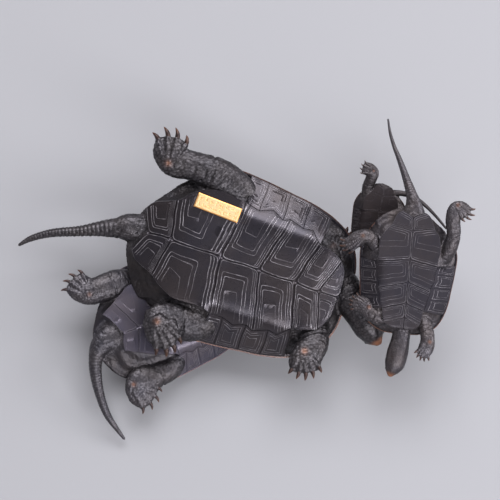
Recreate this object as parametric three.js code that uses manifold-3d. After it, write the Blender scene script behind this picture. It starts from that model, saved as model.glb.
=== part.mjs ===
// Bronze group of four turtles lying on their backs, bellies up, with an inlaid gold plaque.
// Units are millimetres and +Z is up. The group rests on the domes of the two biggest turtles.
//
// Every turtle is built in a frame of its own: +X towards the head, +Z out of the belly, and the
// origin in the middle of the plane of the shell's rim. All of them are drawn at the size of the
// large turtle, and the smaller ones are scaled when they are set in the group.

import * as THREE from 'three';
import { mergeVertices } from 'three/addons/utils/BufferGeometryUtils.js';
import Module from 'manifold-3d';

const wasm = await Module();
wasm.setup();

// Driving dimensions of the group
const BELLY_TILT = THREE.MathUtils.degToRad(15);  // bellies face up and lean this far to the front
const FLOOR_DEPTH = 42.5;                         // from the large turtle's origin down to the floor
const GROUP_SHIFT = [3.5, 19.65];                 // brings the middle of the group over the origin
const GAP = 0.45;                                 // left between neighbours where they touch
const FLOOR_BLOCK = [800, 200];                   // width and depth of what is cut off at the floor

// Driving dimensions of a shell, at the large turtle's size
const DOME_POWER = 2.4;
const DOME_ROUND = 0.92;
const RIDGE_HEIGHT = 1.3;
const RIDGE_WIDTH = 3.5;
const BELLY_HEIGHT = 15;
const BELLY_CENTRE = 14;
const BELLY_DIP = 0.8;
const END_DROP = 2.4;            // both ends of the belly bend down by this much
const END_START = 34;            // the bend starts this far from the middle
const END_REACH = 30;
const LOBE_EDGE = 3.2;
const KEEL_HALF_WIDTH = 30;
const LOBE_HALF_WIDTH = 38.5;
const LOBE_FALL = 3;             // past the lobe the surface falls away over this width
const BRIDGE_BACK = -10;
const BRIDGE_FRONT = 42;
const BRIDGE_EASE = [4, 3, 3, 6];   // the slope sets in over this before and after each end
const BRIDGE_POWER = 0.9;
const RIM_INSET = 0.8;
const RIM_SAMPLES = 720;
const MARGINALS = 12;
const MARGINAL_BAND = 0.85;
const SEAM_WIDTH = 0.9;
const SEAM_DEPTH = 0.6;
const SEAM_TURN = 0.5;           // least share by which a groove keeps its width at a sharp corner
const GROWTH_STEP = 0.4;
const GROWTH_FOOT = 0.42;        // the raised middle of a plate starts at this share of the way in
const GROWTH_TOP = 0.48;
const PLAIN_SWELL = 0.2;

// What closes a shell below: shares of its outline along and across, and the height of the ring
const BELLY_SIDE = [0.99, 0.99];
const BELLY_FOOT = [0.82, 0.7, -7];
const RIM_LIP = [0.995, 0.995, 1];
const RIM_FOOT = [0.8, 0.8, -3];

// Flesh in the openings of the shell: height, share of the rim, share of the belly, and their mix
const FLESH = [[-5, 0.8, 0.9, 0], [0.6, 0.97, 0.9, 0], [3, 0.96, 0.9, 0.1], [8, 0.9, 0.92, 0.65]];
const FLESH_CLEARANCE = 1.8;

// Claws, at the large turtle's size
const CLAW_SIDES = 4;
const CLAW_BASE = 0.6;           // the share of a claw's length that is sunk in the foot
const CLAW_AHEAD = 0.2;
const OUTER_CLAW = 0.2;          // by this share the outermost claws are shorter
const CLAW_ROW = 0.75;           // the row of claws against the width of the foot
const HIND_CLAWS = { count: 4, spread: 48, length: 7.4, radius: 2 };
const FOLDED_CLAWS = { count: 4, spread: 30, length: 6.6, radius: 2 };
const FORE_CLAWS = { count: 5, spread: 64, length: 6, radius: 1.9 };
const OUTWARD = [0, 0, 1];
const SAME_POINT = 1e-3;         // corners closer than this are one
const LIMB_END = 0.5;            // roundness of the end of a limb, against its half width

// Half outline of the rim, from the neck to the tail
const RIM_HALF = [
  [68, 0], [67, 21], [58.5, 37], [46, 45], [31, 49.5], [16, 51.5], [-6, 54], [-24, 54.5],
  [-38, 50], [-52, 41.5], [-62, 31], [-69, 17], [-72, 0],
];

// Over the right hind leg the rim is drawn in
const TUCK = { angle: THREE.MathUtils.degToRad(152), width: 0.34, share: 0.1 };

// The gold plaque, inlaid on the large turtle's belly beside its right thigh
const PLAQUE = { length: 28.5, width: 9.2, thick: 1.6, at: [-26, 28], turn: -2, proud: 0.5, play: 0.3 };

// Shell outline

const rimSamples = new THREE.CatmullRomCurve3(
  [...RIM_HALF, ...RIM_HALF.slice(1, -1).reverse().map(([x, y]) => [x, -y])]
    .map(([x, y]) => new THREE.Vector3(x, y, 0)),
  true,
).getPoints(RIM_SAMPLES)
  .map((p) => {
    const angle = Math.atan2(p.y, p.x);
    const tuck = TUCK.share * Math.exp(-(((angle - TUCK.angle) / TUCK.width) ** 2));
    return [angle, Math.hypot(p.x, p.y) * (1 - tuck)];
  })
  .sort((a, b) => a[0] - b[0]);

function rimRadius(angle) {
  const wrapped = Math.atan2(Math.sin(angle), Math.cos(angle));
  const next = rimSamples.findIndex(([a]) => a >= wrapped);
  if (next <= 0) {
    return rimSamples[0][1];
  }
  const [a0, r0] = rimSamples[next - 1];
  const [a1, r1] = rimSamples[next];
  return a1 > a0 ? THREE.MathUtils.mapLinear(wrapped, a0, a1, r0, r1) : r1;
}

function rimPoint(angle, share = 1) {
  const radius = rimRadius(angle) * share;
  return [radius * Math.cos(angle), radius * Math.sin(angle)];
}

function rimShare(x, y) {
  return Math.hypot(x, y) / rimRadius(Math.atan2(y, x));
}

function domeHeight(depth, x, y) {
  const inside = Math.max(0, 1 - rimShare(x, y) ** DOME_POWER);
  const ridge = RIDGE_HEIGHT * Math.exp(-((y / RIDGE_WIDTH) ** 2)) * inside;
  return -depth * inside ** DOME_ROUND - ridge;
}

// Half width of the rim at a place along the shell
const halfWidths = rimSamples
  .filter(([angle]) => angle >= 0)
  .map(([angle, radius]) => [radius * Math.cos(angle), radius * Math.sin(angle)]);

function rimHalfWidth(x) {
  const after = halfWidths.findIndex(([at]) => at <= x);
  if (after <= 0) {
    return 0;
  }
  const [x0, y0] = halfWidths[after - 1];
  const [x1, y1] = halfWidths[after];
  return THREE.MathUtils.mapLinear(x, x0, x1, y0, y1);
}

// The belly is nearly flat, and between the legs its sides slope down to the rim
function bellyHeight(x, y) {
  const { smoothstep, clamp } = THREE.MathUtils;
  const [beforeBack, afterBack, beforeFront, afterFront] = BRIDGE_EASE;
  const across = Math.abs(y);
  const rim = rimHalfWidth(x) - RIM_INSET;
  const between = smoothstep(x, BRIDGE_BACK - beforeBack, BRIDGE_BACK + afterBack)
    * (1 - smoothstep(x, BRIDGE_FRONT - beforeFront, BRIDGE_FRONT + afterFront));
  const along = Math.max(between, smoothstep(across, LOBE_HALF_WIDTH, LOBE_HALF_WIDTH + LOBE_FALL));
  const down = clamp((across - KEEL_HALF_WIDTH) / (rim - KEEL_HALF_WIDTH), 0, 1);
  const dip = Math.max(BELLY_DIP * (1 - (across / KEEL_HALF_WIDTH) ** 2), 0);
  const ends = END_DROP * (Math.max(Math.abs(x) - END_START, 0) / END_REACH) ** 2;
  return BELLY_HEIGHT - dip - ends - along * (BELLY_HEIGHT - 1) * down ** BRIDGE_POWER;
}

// Plated surfaces: a net of named points and of the plates between them

// The points of both halves. A point of the right half may have a place of its own
function mirrored(points) {
  const both = { ...points };
  for (const [name, [x, y]] of Object.entries(points)) {
    both[`${name}'`] ??= [x, -y];
  }
  for (const [name, [x, y]] of Object.entries(both)) {
    if (name.endsWith("'") && y === 0) {
      both[name] = both[name.slice(0, -1)];
    }
  }
  return both;
}

function mirroredPlates(plates) {
  const other = plates.map((plate) => ({
    ...plate,
    corners: plate.corners.map((name) => `${name}'`).reverse(),
    core: [plate.core[0], -plate.core[1]],
  }));
  return [...plates, ...other];
}

// The rear lobe of a belly may be shorter than the large turtle's, and some points lie elsewhere
function bellyNet({ rearLobe, bellyPoints }) {
  const drawn = {
    m0: [-62.6, 0], m1: [-46.5, 0], m2: [-14.3, 0], m3: [10.4, 0], m4: [33.2, 0], m5: [49.6, 0],
    m6: [62, 0], a0: [-68.2, 13], a1: [-64, 18.5], s1: [-51.8, 24], e1: [-44.5, 31], e2: [-36, 34.8],
    e3: [-26, 36.2], e4: [-16, 35.6], s2: [-10, 36.5], z1: [-1, 34.5], z2: [6.5, 37.5],
    z3: [14, 34.3], s3: [18.5, 36], z4: [28, 32.8], z5: [34, 34], s4: [41, 27.5], h1: [49, 25.3],
    s5: [56.4, 22], g1: [61.5, 12],
  };
  const points = {};
  for (const [name, [x, y]] of Object.entries(drawn)) {
    points[name] = [x < BELLY_CENTRE ? BELLY_CENTRE + (x - BELLY_CENTRE) * rearLobe : x, y];
  }
  Object.assign(points, bellyPoints);
  for (const [name, x] of [['r0', -13], ['r1', -1], ['r2', 14], ['r3', 28], ['r4', 43]]) {
    points[name] = [x, rimHalfWidth(x) - RIM_INSET];
  }
  const plates = [
    { corners: ['m5', 'm6', 'g1', 's5'], core: [56, 9] },
    { corners: ['m4', 'm5', 's5', 'h1', 's4'], core: [43, 18] },
    { corners: ['m3', 'm4', 's4', 'z5', 'z4', 's3'], core: [21, 26] },
    { corners: ['m2', 'm3', 's3', 'z3', 'z2', 'z1', 's2'], core: [-3, 27] },
    { corners: ['m1', 'm2', 's2', 'e4', 'e3', 'e2', 'e1', 's1'], core: [-36, 24] },
    { corners: ['m0', 'm1', 's1', 'a1', 'a0'], core: [-60, 12] },
    { corners: ['s2', 'z1', 'r1', 'r0'], core: [-6, 45], plain: true },
    { corners: ['z1', 'z2', 'z3', 'r2', 'r1'], core: [6.5, 45], plain: true },
    { corners: ['z3', 's3', 'z4', 'r3', 'r2'], core: [21, 43], plain: true },
    { corners: ['z4', 'z5', 's4', 'r4', 'r3'], core: [34, 40], plain: true },
  ];
  return { points: mirrored(points), plates: mirroredPlates(plates) };
}

// Back plates: five along the ridge, four at each side of them, and the ring of rim plates
function domeNet() {
  const points = {
    v1: [33, 10], v2: [9, 10.5], v3: [-16, 10.5], v4: [-40, 9.5],
    c1: [46, 14], c2: [21, 15.5], c3: [-3.5, 16], c4: [-28, 15], c5: [-50, 13],
  };
  for (let i = 0; i <= MARGINALS; i += 1) {
    const angle = Math.PI * (i / MARGINALS);
    points[`b${i}`] = rimPoint(angle, MARGINAL_BAND);
    points[`r${i}`] = rimPoint(angle);
  }
  points.b0[1] = 0;
  points[`b${MARGINALS}`][1] = 0;
  points.r0[1] = 0;
  points[`r${MARGINALS}`][1] = 0;
  const side = [
    { corners: ['v1', 'c1', 'b1', 'b2', 'b3', 'b4', 'c2'], core: [33, 30] },
    { corners: ['v2', 'c2', 'b4', 'b5', 'b6', 'c3'], core: [8, 33] },
    { corners: ['v3', 'c3', 'b6', 'b7', 'b8', 'c4'], core: [-18, 33] },
    { corners: ['v4', 'c4', 'b8', 'b9', 'b10', 'b11', 'c5'], core: [-43, 26] },
  ];
  for (let i = 0; i < MARGINALS; i += 1) {
    const [x, y] = rimPoint(Math.PI * ((i + 0.5) / MARGINALS), (1 + MARGINAL_BAND) / 2);
    side.push({ corners: [`b${i}`, `r${i}`, `r${i + 1}`, `b${i + 1}`].reverse(), core: [x, y], plain: true });
  }
  const middle = [
    { corners: ["c1'", "b1'", 'b0', 'b1', 'c1', 'v1', "v1'"], core: [46, 0] },
    { corners: ["v1'", 'v1', 'c2', 'v2', "v2'", "c2'"], core: [21, 0] },
    { corners: ["v2'", 'v2', 'c3', 'v3', "v3'", "c3'"], core: [-3.5, 0] },
    { corners: ["v3'", 'v3', 'c4', 'v4', "v4'", "c4'"], core: [-28, 0] },
    { corners: ["v4'", 'v4', 'c5', 'b11', 'b12', "b11'", "c5'"], core: [-52, 0] },
  ];
  return { points: mirrored(points), plates: [...mirroredPlates(side), ...middle] };
}

class Surface {
  constructor() {
    this.triangles = [];
  }

  band(outer, inner) {
    outer.forEach((a, i) => {
      const b = outer[(i + 1) % outer.length];
      const c = inner[(i + 1) % inner.length];
      const d = inner[i];
      this.triangles.push([a, b, c], [a, c, d]);
    });
  }

  fan(ring, tip) {
    ring.forEach((a, i) => this.triangles.push([a, ring[(i + 1) % ring.length], tip]));
  }

  geometry() {
    const corners = this.triangles.flat().map((p) => new THREE.Vector3(...p));
    return new THREE.BufferGeometry().setFromPoints(corners);
  }
}

function area(ring) {
  return ring.reduce((sum, [x, y], i) => {
    const [nextX, nextY] = ring[(i + 1) % ring.length];
    return sum + (x * nextY - nextX * y) / 2;
  }, 0);
}

function subdivided(corners, step) {
  return corners.flatMap((a, i) => {
    const b = corners[(i + 1) % corners.length];
    const count = Math.max(1, Math.round(Math.hypot(b[0] - a[0], b[1] - a[1]) / step));
    return Array.from({ length: count }, (_, j) => [
      a[0] + (b[0] - a[0]) * (j / count),
      a[1] + (b[1] - a[1]) * (j / count),
    ]);
  });
}

function inset(ring, width) {
  return ring.map((p, i) => {
    const before = ring[(i + ring.length - 1) % ring.length];
    const after = ring[(i + 1) % ring.length];
    const normals = [[before, p], [p, after]].map(([a, b]) => {
      const length = Math.hypot(b[0] - a[0], b[1] - a[1]);
      return [-(b[1] - a[1]) / length, (b[0] - a[0]) / length];
    });
    const sum = [normals[0][0] + normals[1][0], normals[0][1] + normals[1][1]];
    const shrink = Math.max(SEAM_TURN, (sum[0] ** 2 + sum[1] ** 2) / 2);
    return [p[0] + sum[0] * (width / shrink), p[1] + sum[1] * (width / shrink)];
  });
}

function towards(ring, core, share) {
  return ring.map(([x, y]) => [x + (core[0] - x) * share, y + (core[1] - y) * share]);
}

// Lays every plate on the surface with a groove round it and, where wanted, a raised middle.
// out is +1 for a surface that faces +Z and -1 for one that faces -Z.
function platedSurface(net, height, out, { step, seams, grown }) {
  const surface = new Surface();
  const rims = [];
  const lift = (ring, relief) => ring.map(([x, y]) => [x, y, height(x, y) + out * relief]);
  for (const plate of net.plates) {
    const named = plate.corners.map((name) => net.points[name]);
    const corners = area(named) > 0 ? named : [...named].reverse();
    const outline = subdivided(corners, step);
    const flat = inset(outline, SEAM_WIDTH);
    const rings = [lift(outline, -SEAM_DEPTH)];
    if (seams && !plate.plain) {
      rings.push(lift(flat, 0));
    }
    if (grown && !plate.plain) {
      rings.push(lift(towards(flat, plate.core, GROWTH_FOOT), 0));
      rings.push(lift(towards(flat, plate.core, GROWTH_TOP), GROWTH_STEP));
    }
    for (let i = 0; i + 1 < rings.length; i += 1) {
      surface.band(rings[i], rings[i + 1]);
    }
    const last = rings[rings.length - 1];
    const [x, y] = plate.core;
    surface.fan(last, [x, y, height(x, y) + out * (rings.length > 2 ? GROWTH_STEP : PLAIN_SWELL)]);
    rims.push(rings[0]);
  }
  if (out < 0) {
    surface.triangles = surface.triangles.map(([a, b, c]) => [a, c, b]);
  }
  return { surface, border: borderOf(rims) };
}

// The edges that belong to one plate only, joined end to end
function borderOf(rings) {
  const key = (p) => p.slice(0, 2).map((n) => n.toFixed(3)).join(' ');
  const edges = new Map();
  for (const ring of rings) {
    ring.forEach((a, i) => {
      const b = ring[(i + 1) % ring.length];
      if (!edges.delete(`${key(b)}|${key(a)}`)) {
        edges.set(`${key(a)}|${key(b)}`, [a, b]);
      }
    });
  }
  const next = new Map([...edges.values()].map(([a, b]) => [key(a), [a, b]]));
  const [[, first]] = next;
  const loop = [first[0]];
  for (let at = first[1]; key(at) !== key(first[0]); at = next.get(key(at))[1]) {
    loop.push(at);
  }
  return loop;
}

// Closes a plated surface with rings that follow its border and a flat cap
function closeWith(surface, border, rings, out) {
  const down = rings.map(([shareX, shareY, z]) => border.map((p) => [
    p[0] * shareX,
    p[1] * shareY,
    z(p),
  ]));
  const walls = new Surface();
  [border, ...down].forEach((ring, i, all) => {
    if (i + 1 < all.length) {
      walls.band(ring, all[i + 1]);
    }
  });
  const last = down[down.length - 1];
  walls.fan(last, [0, 0, last[0][2]]);
  const turned = walls.triangles.map(([a, b, c]) => (out > 0 ? [a, c, b] : [a, b, c]));
  surface.triangles.push(...turned);
}

function bellyPlate(turtle) {
  const { surface, border } = platedSurface(bellyNet(turtle), bellyHeight, 1, turtle.carving);
  const [footX, footY, foot] = BELLY_FOOT;
  closeWith(surface, border, [
    [...BELLY_SIDE, (p) => p[2] - LOBE_EDGE],
    [footX, footY, () => foot],
  ], 1);
  return surface.geometry();
}

// The flesh between belly and back, which shows in the openings of the shell
function flesh(turtle) {
  const { border } = platedSurface(bellyNet(turtle), bellyHeight, 1, turtle.carving);
  const edge = border
    .map(([x, y]) => [Math.atan2(y, x), Math.hypot(x, y)])
    .sort((a, b) => a[0] - b[0]);
  const bellyRadius = (angle) => {
    const next = edge.findIndex(([a]) => a >= angle);
    const after = edge[Math.max(next, 0)];
    const before = edge.at(next < 1 ? -1 : next - 1);
    return after[0] > before[0]
      ? THREE.MathUtils.mapLinear(angle, before[0], after[0], before[1], after[1])
      : after[1];
  };
  const { fleshSides: sides } = turtle;
  const rings = FLESH.map(([z, rimPart, bellyPart, mix]) => Array.from({ length: sides }, (_, i) => {
    const angle = Math.PI * ((2 * i) / sides - 1);
    const radius = rimRadius(angle) * rimPart * (1 - mix) + bellyRadius(angle) * bellyPart * mix;
    const [x, y] = [radius * Math.cos(angle), radius * Math.sin(angle)];
    return [x, y, Math.min(z, bellyHeight(x, y) - FLESH_CLEARANCE)];
  }));
  const surface = new Surface();
  for (let i = 0; i + 1 < rings.length; i += 1) {
    surface.band(rings[i], rings[i + 1]);
  }
  surface.fan([...rings[0]].reverse(), [0, 0, FLESH[0][0]]);
  surface.fan(rings.at(-1), [0, 0, FLESH.at(-1)[0]]);
  return surface.geometry();
}

function dome(depth, carving) {
  const height = (x, y) => domeHeight(depth, x, y);
  const [[lipX, lipY, lip], [footX, footY, foot]] = [RIM_LIP, RIM_FOOT];
  const { surface, border } = platedSurface(domeNet(), height, -1, carving);
  closeWith(surface, border, [
    [lipX, lipY, () => lip],
    [footX, footY, () => foot],
  ], -1);
  return surface.geometry();
}

// Soft parts: a tube of oval section. Each point of its path gives x, y, z, half width and half
// thickness, and facing is the direction that its flat side looks to.
function limb(path, facing, steps, sides) {
  const centre = new THREE.CatmullRomCurve3(path.map(([x, y, z]) => new THREE.Vector3(x, y, z)));
  const section = new THREE.CatmullRomCurve3(path.map(([, , , a, b]) => new THREE.Vector3(a, b, 0)));
  const look = new THREE.Vector3(...facing).normalize();
  const rings = Array.from({ length: steps + 1 }, (_, i) => {
    const at = centre.getPoint(i / steps);
    const along = centre.getTangent(i / steps);
    const size = section.getPoint(i / steps);
    const side = new THREE.Vector3().crossVectors(look, along).normalize();
    const front = new THREE.Vector3().crossVectors(along, side);
    return Array.from({ length: sides }, (_, j) => {
      const turn = 2 * Math.PI * (j / sides);
      return at.clone()
        .addScaledVector(side, size.x * Math.cos(turn))
        .addScaledVector(front, size.y * Math.sin(turn))
        .toArray();
    });
  });
  const surface = new Surface();
  for (let i = 0; i < steps; i += 1) {
    surface.band(rings[i], rings[i + 1]);
  }
  const [start] = path;
  const end = centre.getPoint(1).addScaledVector(centre.getTangent(1), path.at(-1)[3] * LIMB_END);
  surface.fan([...rings[0]].reverse(), start.slice(0, 3));
  surface.fan(rings[steps], end.toArray());
  return surface.geometry();
}

// Claws fan out from the end of a foot
function claws(path, facing, { count, spread, length, radius }) {
  const tip = new THREE.Vector3(...path.at(-1));
  const heel = new THREE.Vector3(...path.at(-2));
  const along = tip.clone().sub(heel).normalize();
  const look = new THREE.Vector3(...facing).normalize();
  const side = new THREE.Vector3().crossVectors(look, along).normalize();
  const halfWidth = path.at(-1)[3];
  return Array.from({ length: count }, (_, i) => {
    const share = count > 1 ? (2 * i) / (count - 1) - 1 : 0;
    const turn = THREE.MathUtils.degToRad(spread / 2) * share;
    const direction = along.clone().multiplyScalar(Math.cos(turn)).addScaledVector(side, Math.sin(turn));
    const reach = length * (1 - OUTER_CLAW * share ** 2);
    const cone = new THREE.ConeGeometry(radius, reach * (1 + CLAW_BASE), CLAW_SIDES, 1);
    cone.applyQuaternion(new THREE.Quaternion().setFromUnitVectors(new THREE.Vector3(0, 1, 0), direction));
    const centre = tip.clone()
      .addScaledVector(side, halfWidth * CLAW_ROW * share)
      .addScaledVector(direction, reach * CLAW_AHEAD);
    cone.translate(centre.x, centre.y, centre.z);
    return cone;
  });
}

// Solids

function solid(geometry) {
  const bare = geometry.clone();
  bare.deleteAttribute('normal');
  bare.deleteAttribute('uv');
  const merged = mergeVertices(bare, SAME_POINT);
  return new wasm.Manifold(new wasm.Mesh({
    numProp: 3,
    vertProperties: new Float32Array(merged.attributes.position.array),
    triVerts: new Uint32Array(merged.index.array),
  }));
}

function geometryOf(body) {
  const { vertProperties, triVerts } = body.getMesh();
  const geometry = new THREE.BufferGeometry();
  geometry.setAttribute('position', new THREE.BufferAttribute(new Float32Array(vertProperties), 3));
  geometry.setIndex(new THREE.BufferAttribute(new Uint32Array(triVerts), 1));
  return geometry;
}

function joined(geometries) {
  return geometries.map(solid).reduce((all, body) => all.add(body));
}

// The same body, swollen by the gap that stays open between neighbours
function swollen(body) {
  const geometry = geometryOf(body);
  geometry.computeVertexNormals();
  const { position, normal } = geometry.attributes;
  for (let i = 0; i < position.count; i += 1) {
    position.setXYZ(
      i,
      position.getX(i) + GAP * normal.getX(i),
      position.getY(i) + GAP * normal.getY(i),
      position.getZ(i) + GAP * normal.getZ(i),
    );
  }
  return solid(geometry);
}

function biggest(body) {
  return body.decompose().reduce((a, b) => (b.volume() > a.volume() ? b : a));
}

function turtleBody(turtle) {
  const { depth, carving, steps, sides } = turtle;
  const plainer = { ...carving, step: carving.domeStep, grown: false };
  const pieces = [dome(depth, plainer), bellyPlate(turtle), flesh(turtle)];
  for (const { path, facing = OUTWARD, toes } of turtle.limbs) {
    pieces.push(limb(path, facing, steps, sides));
    pieces.push(...claws(path, facing, toes));
  }
  pieces.push(limb(turtle.head, OUTWARD, steps + 2, sides));
  pieces.push(limb(turtle.tail, OUTWARD, turtle.tailSteps, sides - 1));
  return joined(pieces);
}

// The turtles, each with its place in the group: scale, centre and turns in degrees

const TURTLES = [
  {
    name: 'large_turtle',
    scale: 1,
    at: [-4.3, -9, 0],
    heading: -19.2,
    pitch: 0,
    roll: 0,
    depth: 42,
    rearLobe: 1,
    bellyPoints: {
      e2: [-36, 36.4], e3: [-26, 38.2], e4: [-16, 37.2], s2: [-10, 37.2], "e1'": [-44.5, -29.5],
      "e2'": [-36, -32.6], "e3'": [-26, -33.6], "e4'": [-16, -33.2], "s2'": [-10, -34.8],
    },
    carving: { step: 12, domeStep: 18, seams: true, grown: true },
    fleshSides: 20,
    steps: 8,
    sides: 8,
    tailSteps: 11,
    limbs: [
      {
        path: [[-12, 33, 0, 14, 8], [-22, 41, 4, 14, 7.6], [-34, 46.6, 6.6, 11.4, 7],
          [-50, 47.2, 8.5, 9.2, 6.4], [-60, 46.6, 9.5, 10.4, 5.6], [-65, 51, 11, 11, 4.4],
          [-66, 57, 11.5, 9.6, 2.8]],
        toes: HIND_CLAWS,
      },
      {
        path: [[-8, -33, 0, 11, 8], [-14, -42, 4, 11.5, 7], [-23, -46.5, 8, 11, 6.5],
          [-32, -46.5, 12, 10, 6], [-37.5, -48.5, 16, 10, 5], [-33, -55, 18.5, 10.5, 4],
          [-28, -60, 18, 8.6, 2.8]],
        toes: FOLDED_CLAWS,
      },
      {
        path: [[46, -18, 0, 11, 7], [54, -25, 5, 10.4, 7], [57, -32, 10, 9.4, 6.5],
          [55.5, -39, 13, 9.8, 6], [55.5, -44, 15, 10.2, 5], [57, -47.5, 16, 9, 3.4]],
        toes: FORE_CLAWS,
      },
      {
        path: [[42, 18, 0, 8, 7], [47, 26, 0, 7.5, 6], [51, 32, -2, 7, 5], [54, 36, -4, 6, 3]],
        toes: FORE_CLAWS,
      },
    ],
    head: [[44, 10, -1, 12, 7.5], [58, 8, 0, 12.5, 7.5], [68, 3, 1, 11, 7.5], [78, -4.5, 2, 9.8, 8],
      [86, -11, 3, 9.4, 7.5], [92, -16, 3, 6.5, 5.5], [95.5, -18.4, 3, 2.5, 2.5]],
    tail: [[-58, 1, 1, 9.5, 6], [-74, -1.6, 3, 9, 6], [-81, -4.2, 3.5, 6.5, 5], [-91, -8.3, 3.2, 4.6, 4],
      [-102, -13.6, 2.6, 3.2, 3], [-119, -21, 1.2, 2.5, 2.3], [-130, -28.5, -0.3, 1.8, 1.7],
      [-135.2, -34.2, -1.6, 0.9, 0.9]],
  },
  {
    name: 'rear_turtle',
    scale: 0.7,
    at: [-51.5, -41.5, -12],
    heading: 20,
    pitch: 14,
    roll: 0,
    depth: 30,
    rearLobe: 0.74,
    bellyPoints: {
      m0: [-45, 0], a0: [-50.5, 13.5], a1: [-57, 21.5], s1: [-45, 28.5], e1: [-34, 34.5], e2: [-27, 37.8],
      "a0'": [-48, -7], "a1'": [-49.5, -14.6], "s1'": [-38, -21], "e1'": [-28, -26], "e2'": [-20, -29.5],
      "e3'": [-12, -32.5], "e4'": [-6, -34], "s2'": [-3.8, -35.5],
    },
    carving: { step: 16, domeStep: 25, seams: true, grown: false },
    fleshSides: 18,
    steps: 6,
    sides: 8,
    tailSteps: 11,
    limbs: [
      {
        path: [[-12, 30, 0, 13, 8], [-24, 39, 3, 13.5, 8], [-36, 42.5, 5.5, 13.5, 8],
          [-50, 43.5, 6.5, 12, 7.4], [-60, 44, 6, 11.5, 6.5], [-65.5, 50, 5, 12.5, 5.2],
          [-69, 57, 4.5, 11, 3.4]],
        toes: HIND_CLAWS,
      },
      {
        path: [[-4, -34, 0, 10, 8], [-14, -44, 6, 10, 8], [-30, -46, 8, 11, 7],
          [-45, -46, 9, 13, 6], [-47, -54, 9, 14, 4.6], [-42, -62, 9, 12.5, 3]],
        toes: HIND_CLAWS,
      },
    ],
    head: [[46, 0, -1, 8, 7.5], [58, 0, 0, 8, 7.5], [68, 0, 1, 6, 6]],
    tail: [[-42, 0, 3, 13, 7], [-56, -0.5, 4, 12.5, 7], [-67, -4.5, 3, 9.5, 6.5],
      [-75, -15, 0.5, 6, 5.5], [-79, -29, -2, 5, 4.8], [-81, -46, -4, 4, 3.8],
      [-80.5, -63.5, -6, 3.2, 3], [-77, -77, -8, 2.2, 2], [-73, -89, -10, 1.2, 1.2]],
  },
  {
    name: 'front_turtle',
    scale: 0.55,
    at: [95.9, -14, 18.6],
    heading: -95.7,
    pitch: 0,
    roll: -4,
    depth: 36,
    rearLobe: 1,
    bellyPoints: {
      e1: [-44.5, 29.5], e2: [-36, 32], e3: [-26, 32.5], e4: [-16, 31.5], s2: [-10, 31.5], z1: [-1, 28.5],
      z2: [6.5, 29.5], z3: [14, 26], s3: [18.5, 26], z4: [28, 23], z5: [34, 23], s4: [41, 20.5],
      h1: [49, 18.8], s5: [56.4, 17.5], g1: [61.5, 10.5], "e1'": [-44.5, -31], "e2'": [-36, -34.8],
      "e3'": [-26, -36.2], "e4'": [-16, -35.6], "s2'": [-10, -36], "z1'": [-1, -33.5],
      "z2'": [6.5, -34.5], "z3'": [14, -31.5], "s3'": [18.5, -32], "z4'": [28, -29],
      "z5'": [34, -29.5], "s4'": [41, -26], "h1'": [49, -24.5], "s5'": [56.4, -21.5], "g1'": [61.5, -12],
    },
    carving: { step: 19, domeStep: 27, seams: true, grown: false },
    fleshSides: 14,
    steps: 5,
    sides: 7,
    tailSteps: 10,
    limbs: [
      {
        path: [[-16, -30, 0, 9, 7], [-27, -38, 5, 8.5, 7], [-36, -50, 12, 8, 6], [-32, -60, 13, 9, 4.5],
          [-24, -69, 11, 8, 3]],
        toes: HIND_CLAWS,
      },
      {
        path: [[-14, 32, 0, 9, 7], [-28, 42, 6, 9, 7], [-46, 46, 12, 8, 6], [-64, 43, 15, 8.5, 6],
          [-75, 45, 16, 8.8, 5], [-76, 51, 17.5, 9, 3.6], [-71.5, 56.5, 18, 8, 2.6]],
        toes: HIND_CLAWS,
      },
      {
        path: [[46, -16, 2, 9, 7], [52, -26, 6, 9, 6], [48, -37, 6, 9, 5.5], [40, -46, 5, 9.5, 4.5],
          [38, -54, 3, 8.5, 2.8]],
        toes: FORE_CLAWS,
      },
      {
        path: [[44, 18, 0, 9, 7], [56, 25, 6, 8.6, 6.5], [69, 28.5, 11, 8, 6], [79, 28, 13, 8.8, 5],
          [88, 24, 14, 8, 2.8]],
        toes: FORE_CLAWS,
      },
    ],
    head: [[46, 0, 0, 9.5, 7.5], [60, 0.3, 2, 9.8, 7.5], [74, 0, 2, 10.4, 8], [90, -2, 2, 12, 9],
      [102, -4, 2, 11.4, 8.5], [110, -6.6, 2.5, 7.6, 6], [115, -8, 2.5, 3.2, 3]],
    tail: [[-54, 0, 2, 15, 6], [-66, 0, 4, 14, 6.5], [-76, -0.6, 4, 9.5, 6], [-88, -4.4, 3, 6, 5],
      [-101, -10, 1.6, 4.5, 4], [-114, -15.8, 0, 3.6, 3.4], [-127, -22, -1.5, 2.8, 2.6],
      [-138, -27.6, -3, 2.2, 2.1], [-153, -33.6, -4.6, 1.6, 1.6], [-168, -37.2, -6, 1, 1]],
  },
  {
    name: 'small_turtle',
    scale: 0.3,
    at: [79, 19.5, 2.5],
    heading: -102,
    pitch: 0,
    roll: 0,
    depth: 36,
    rearLobe: 1,
    bellyPoints: {},
    carving: { step: 30, domeStep: 45, seams: false, grown: false },
    fleshSides: 10,
    steps: 4,
    sides: 6,
    tailSteps: 8,
    limbs: [
      {
        path: [[-26, -26, 0, 10, 6], [-44, -32, 1, 11, 7], [-60, -33.5, 5, 12, 8], [-76, -31, 12, 12, 8],
          [-89, -30, 17, 13, 7], [-94, -39, 19, 14, 5.5], [-95, -50, 20, 13, 3.6]],
        toes: HIND_CLAWS,
      },
      {
        path: [[-20, 26, 2, 9, 7], [-22, 38, 3, 9, 7], [-10, 50, 0, 8.5, 6], [8, 58, -4, 9, 4],
          [18, 60, -6, 8, 3]],
        toes: HIND_CLAWS,
      },
    ],
    head: [[46, 0, 0, 8, 7.5], [60, 0, 0, 8, 7.5], [74, 0, 0, 9, 8], [84, 0, 0, 5, 5]],
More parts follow.
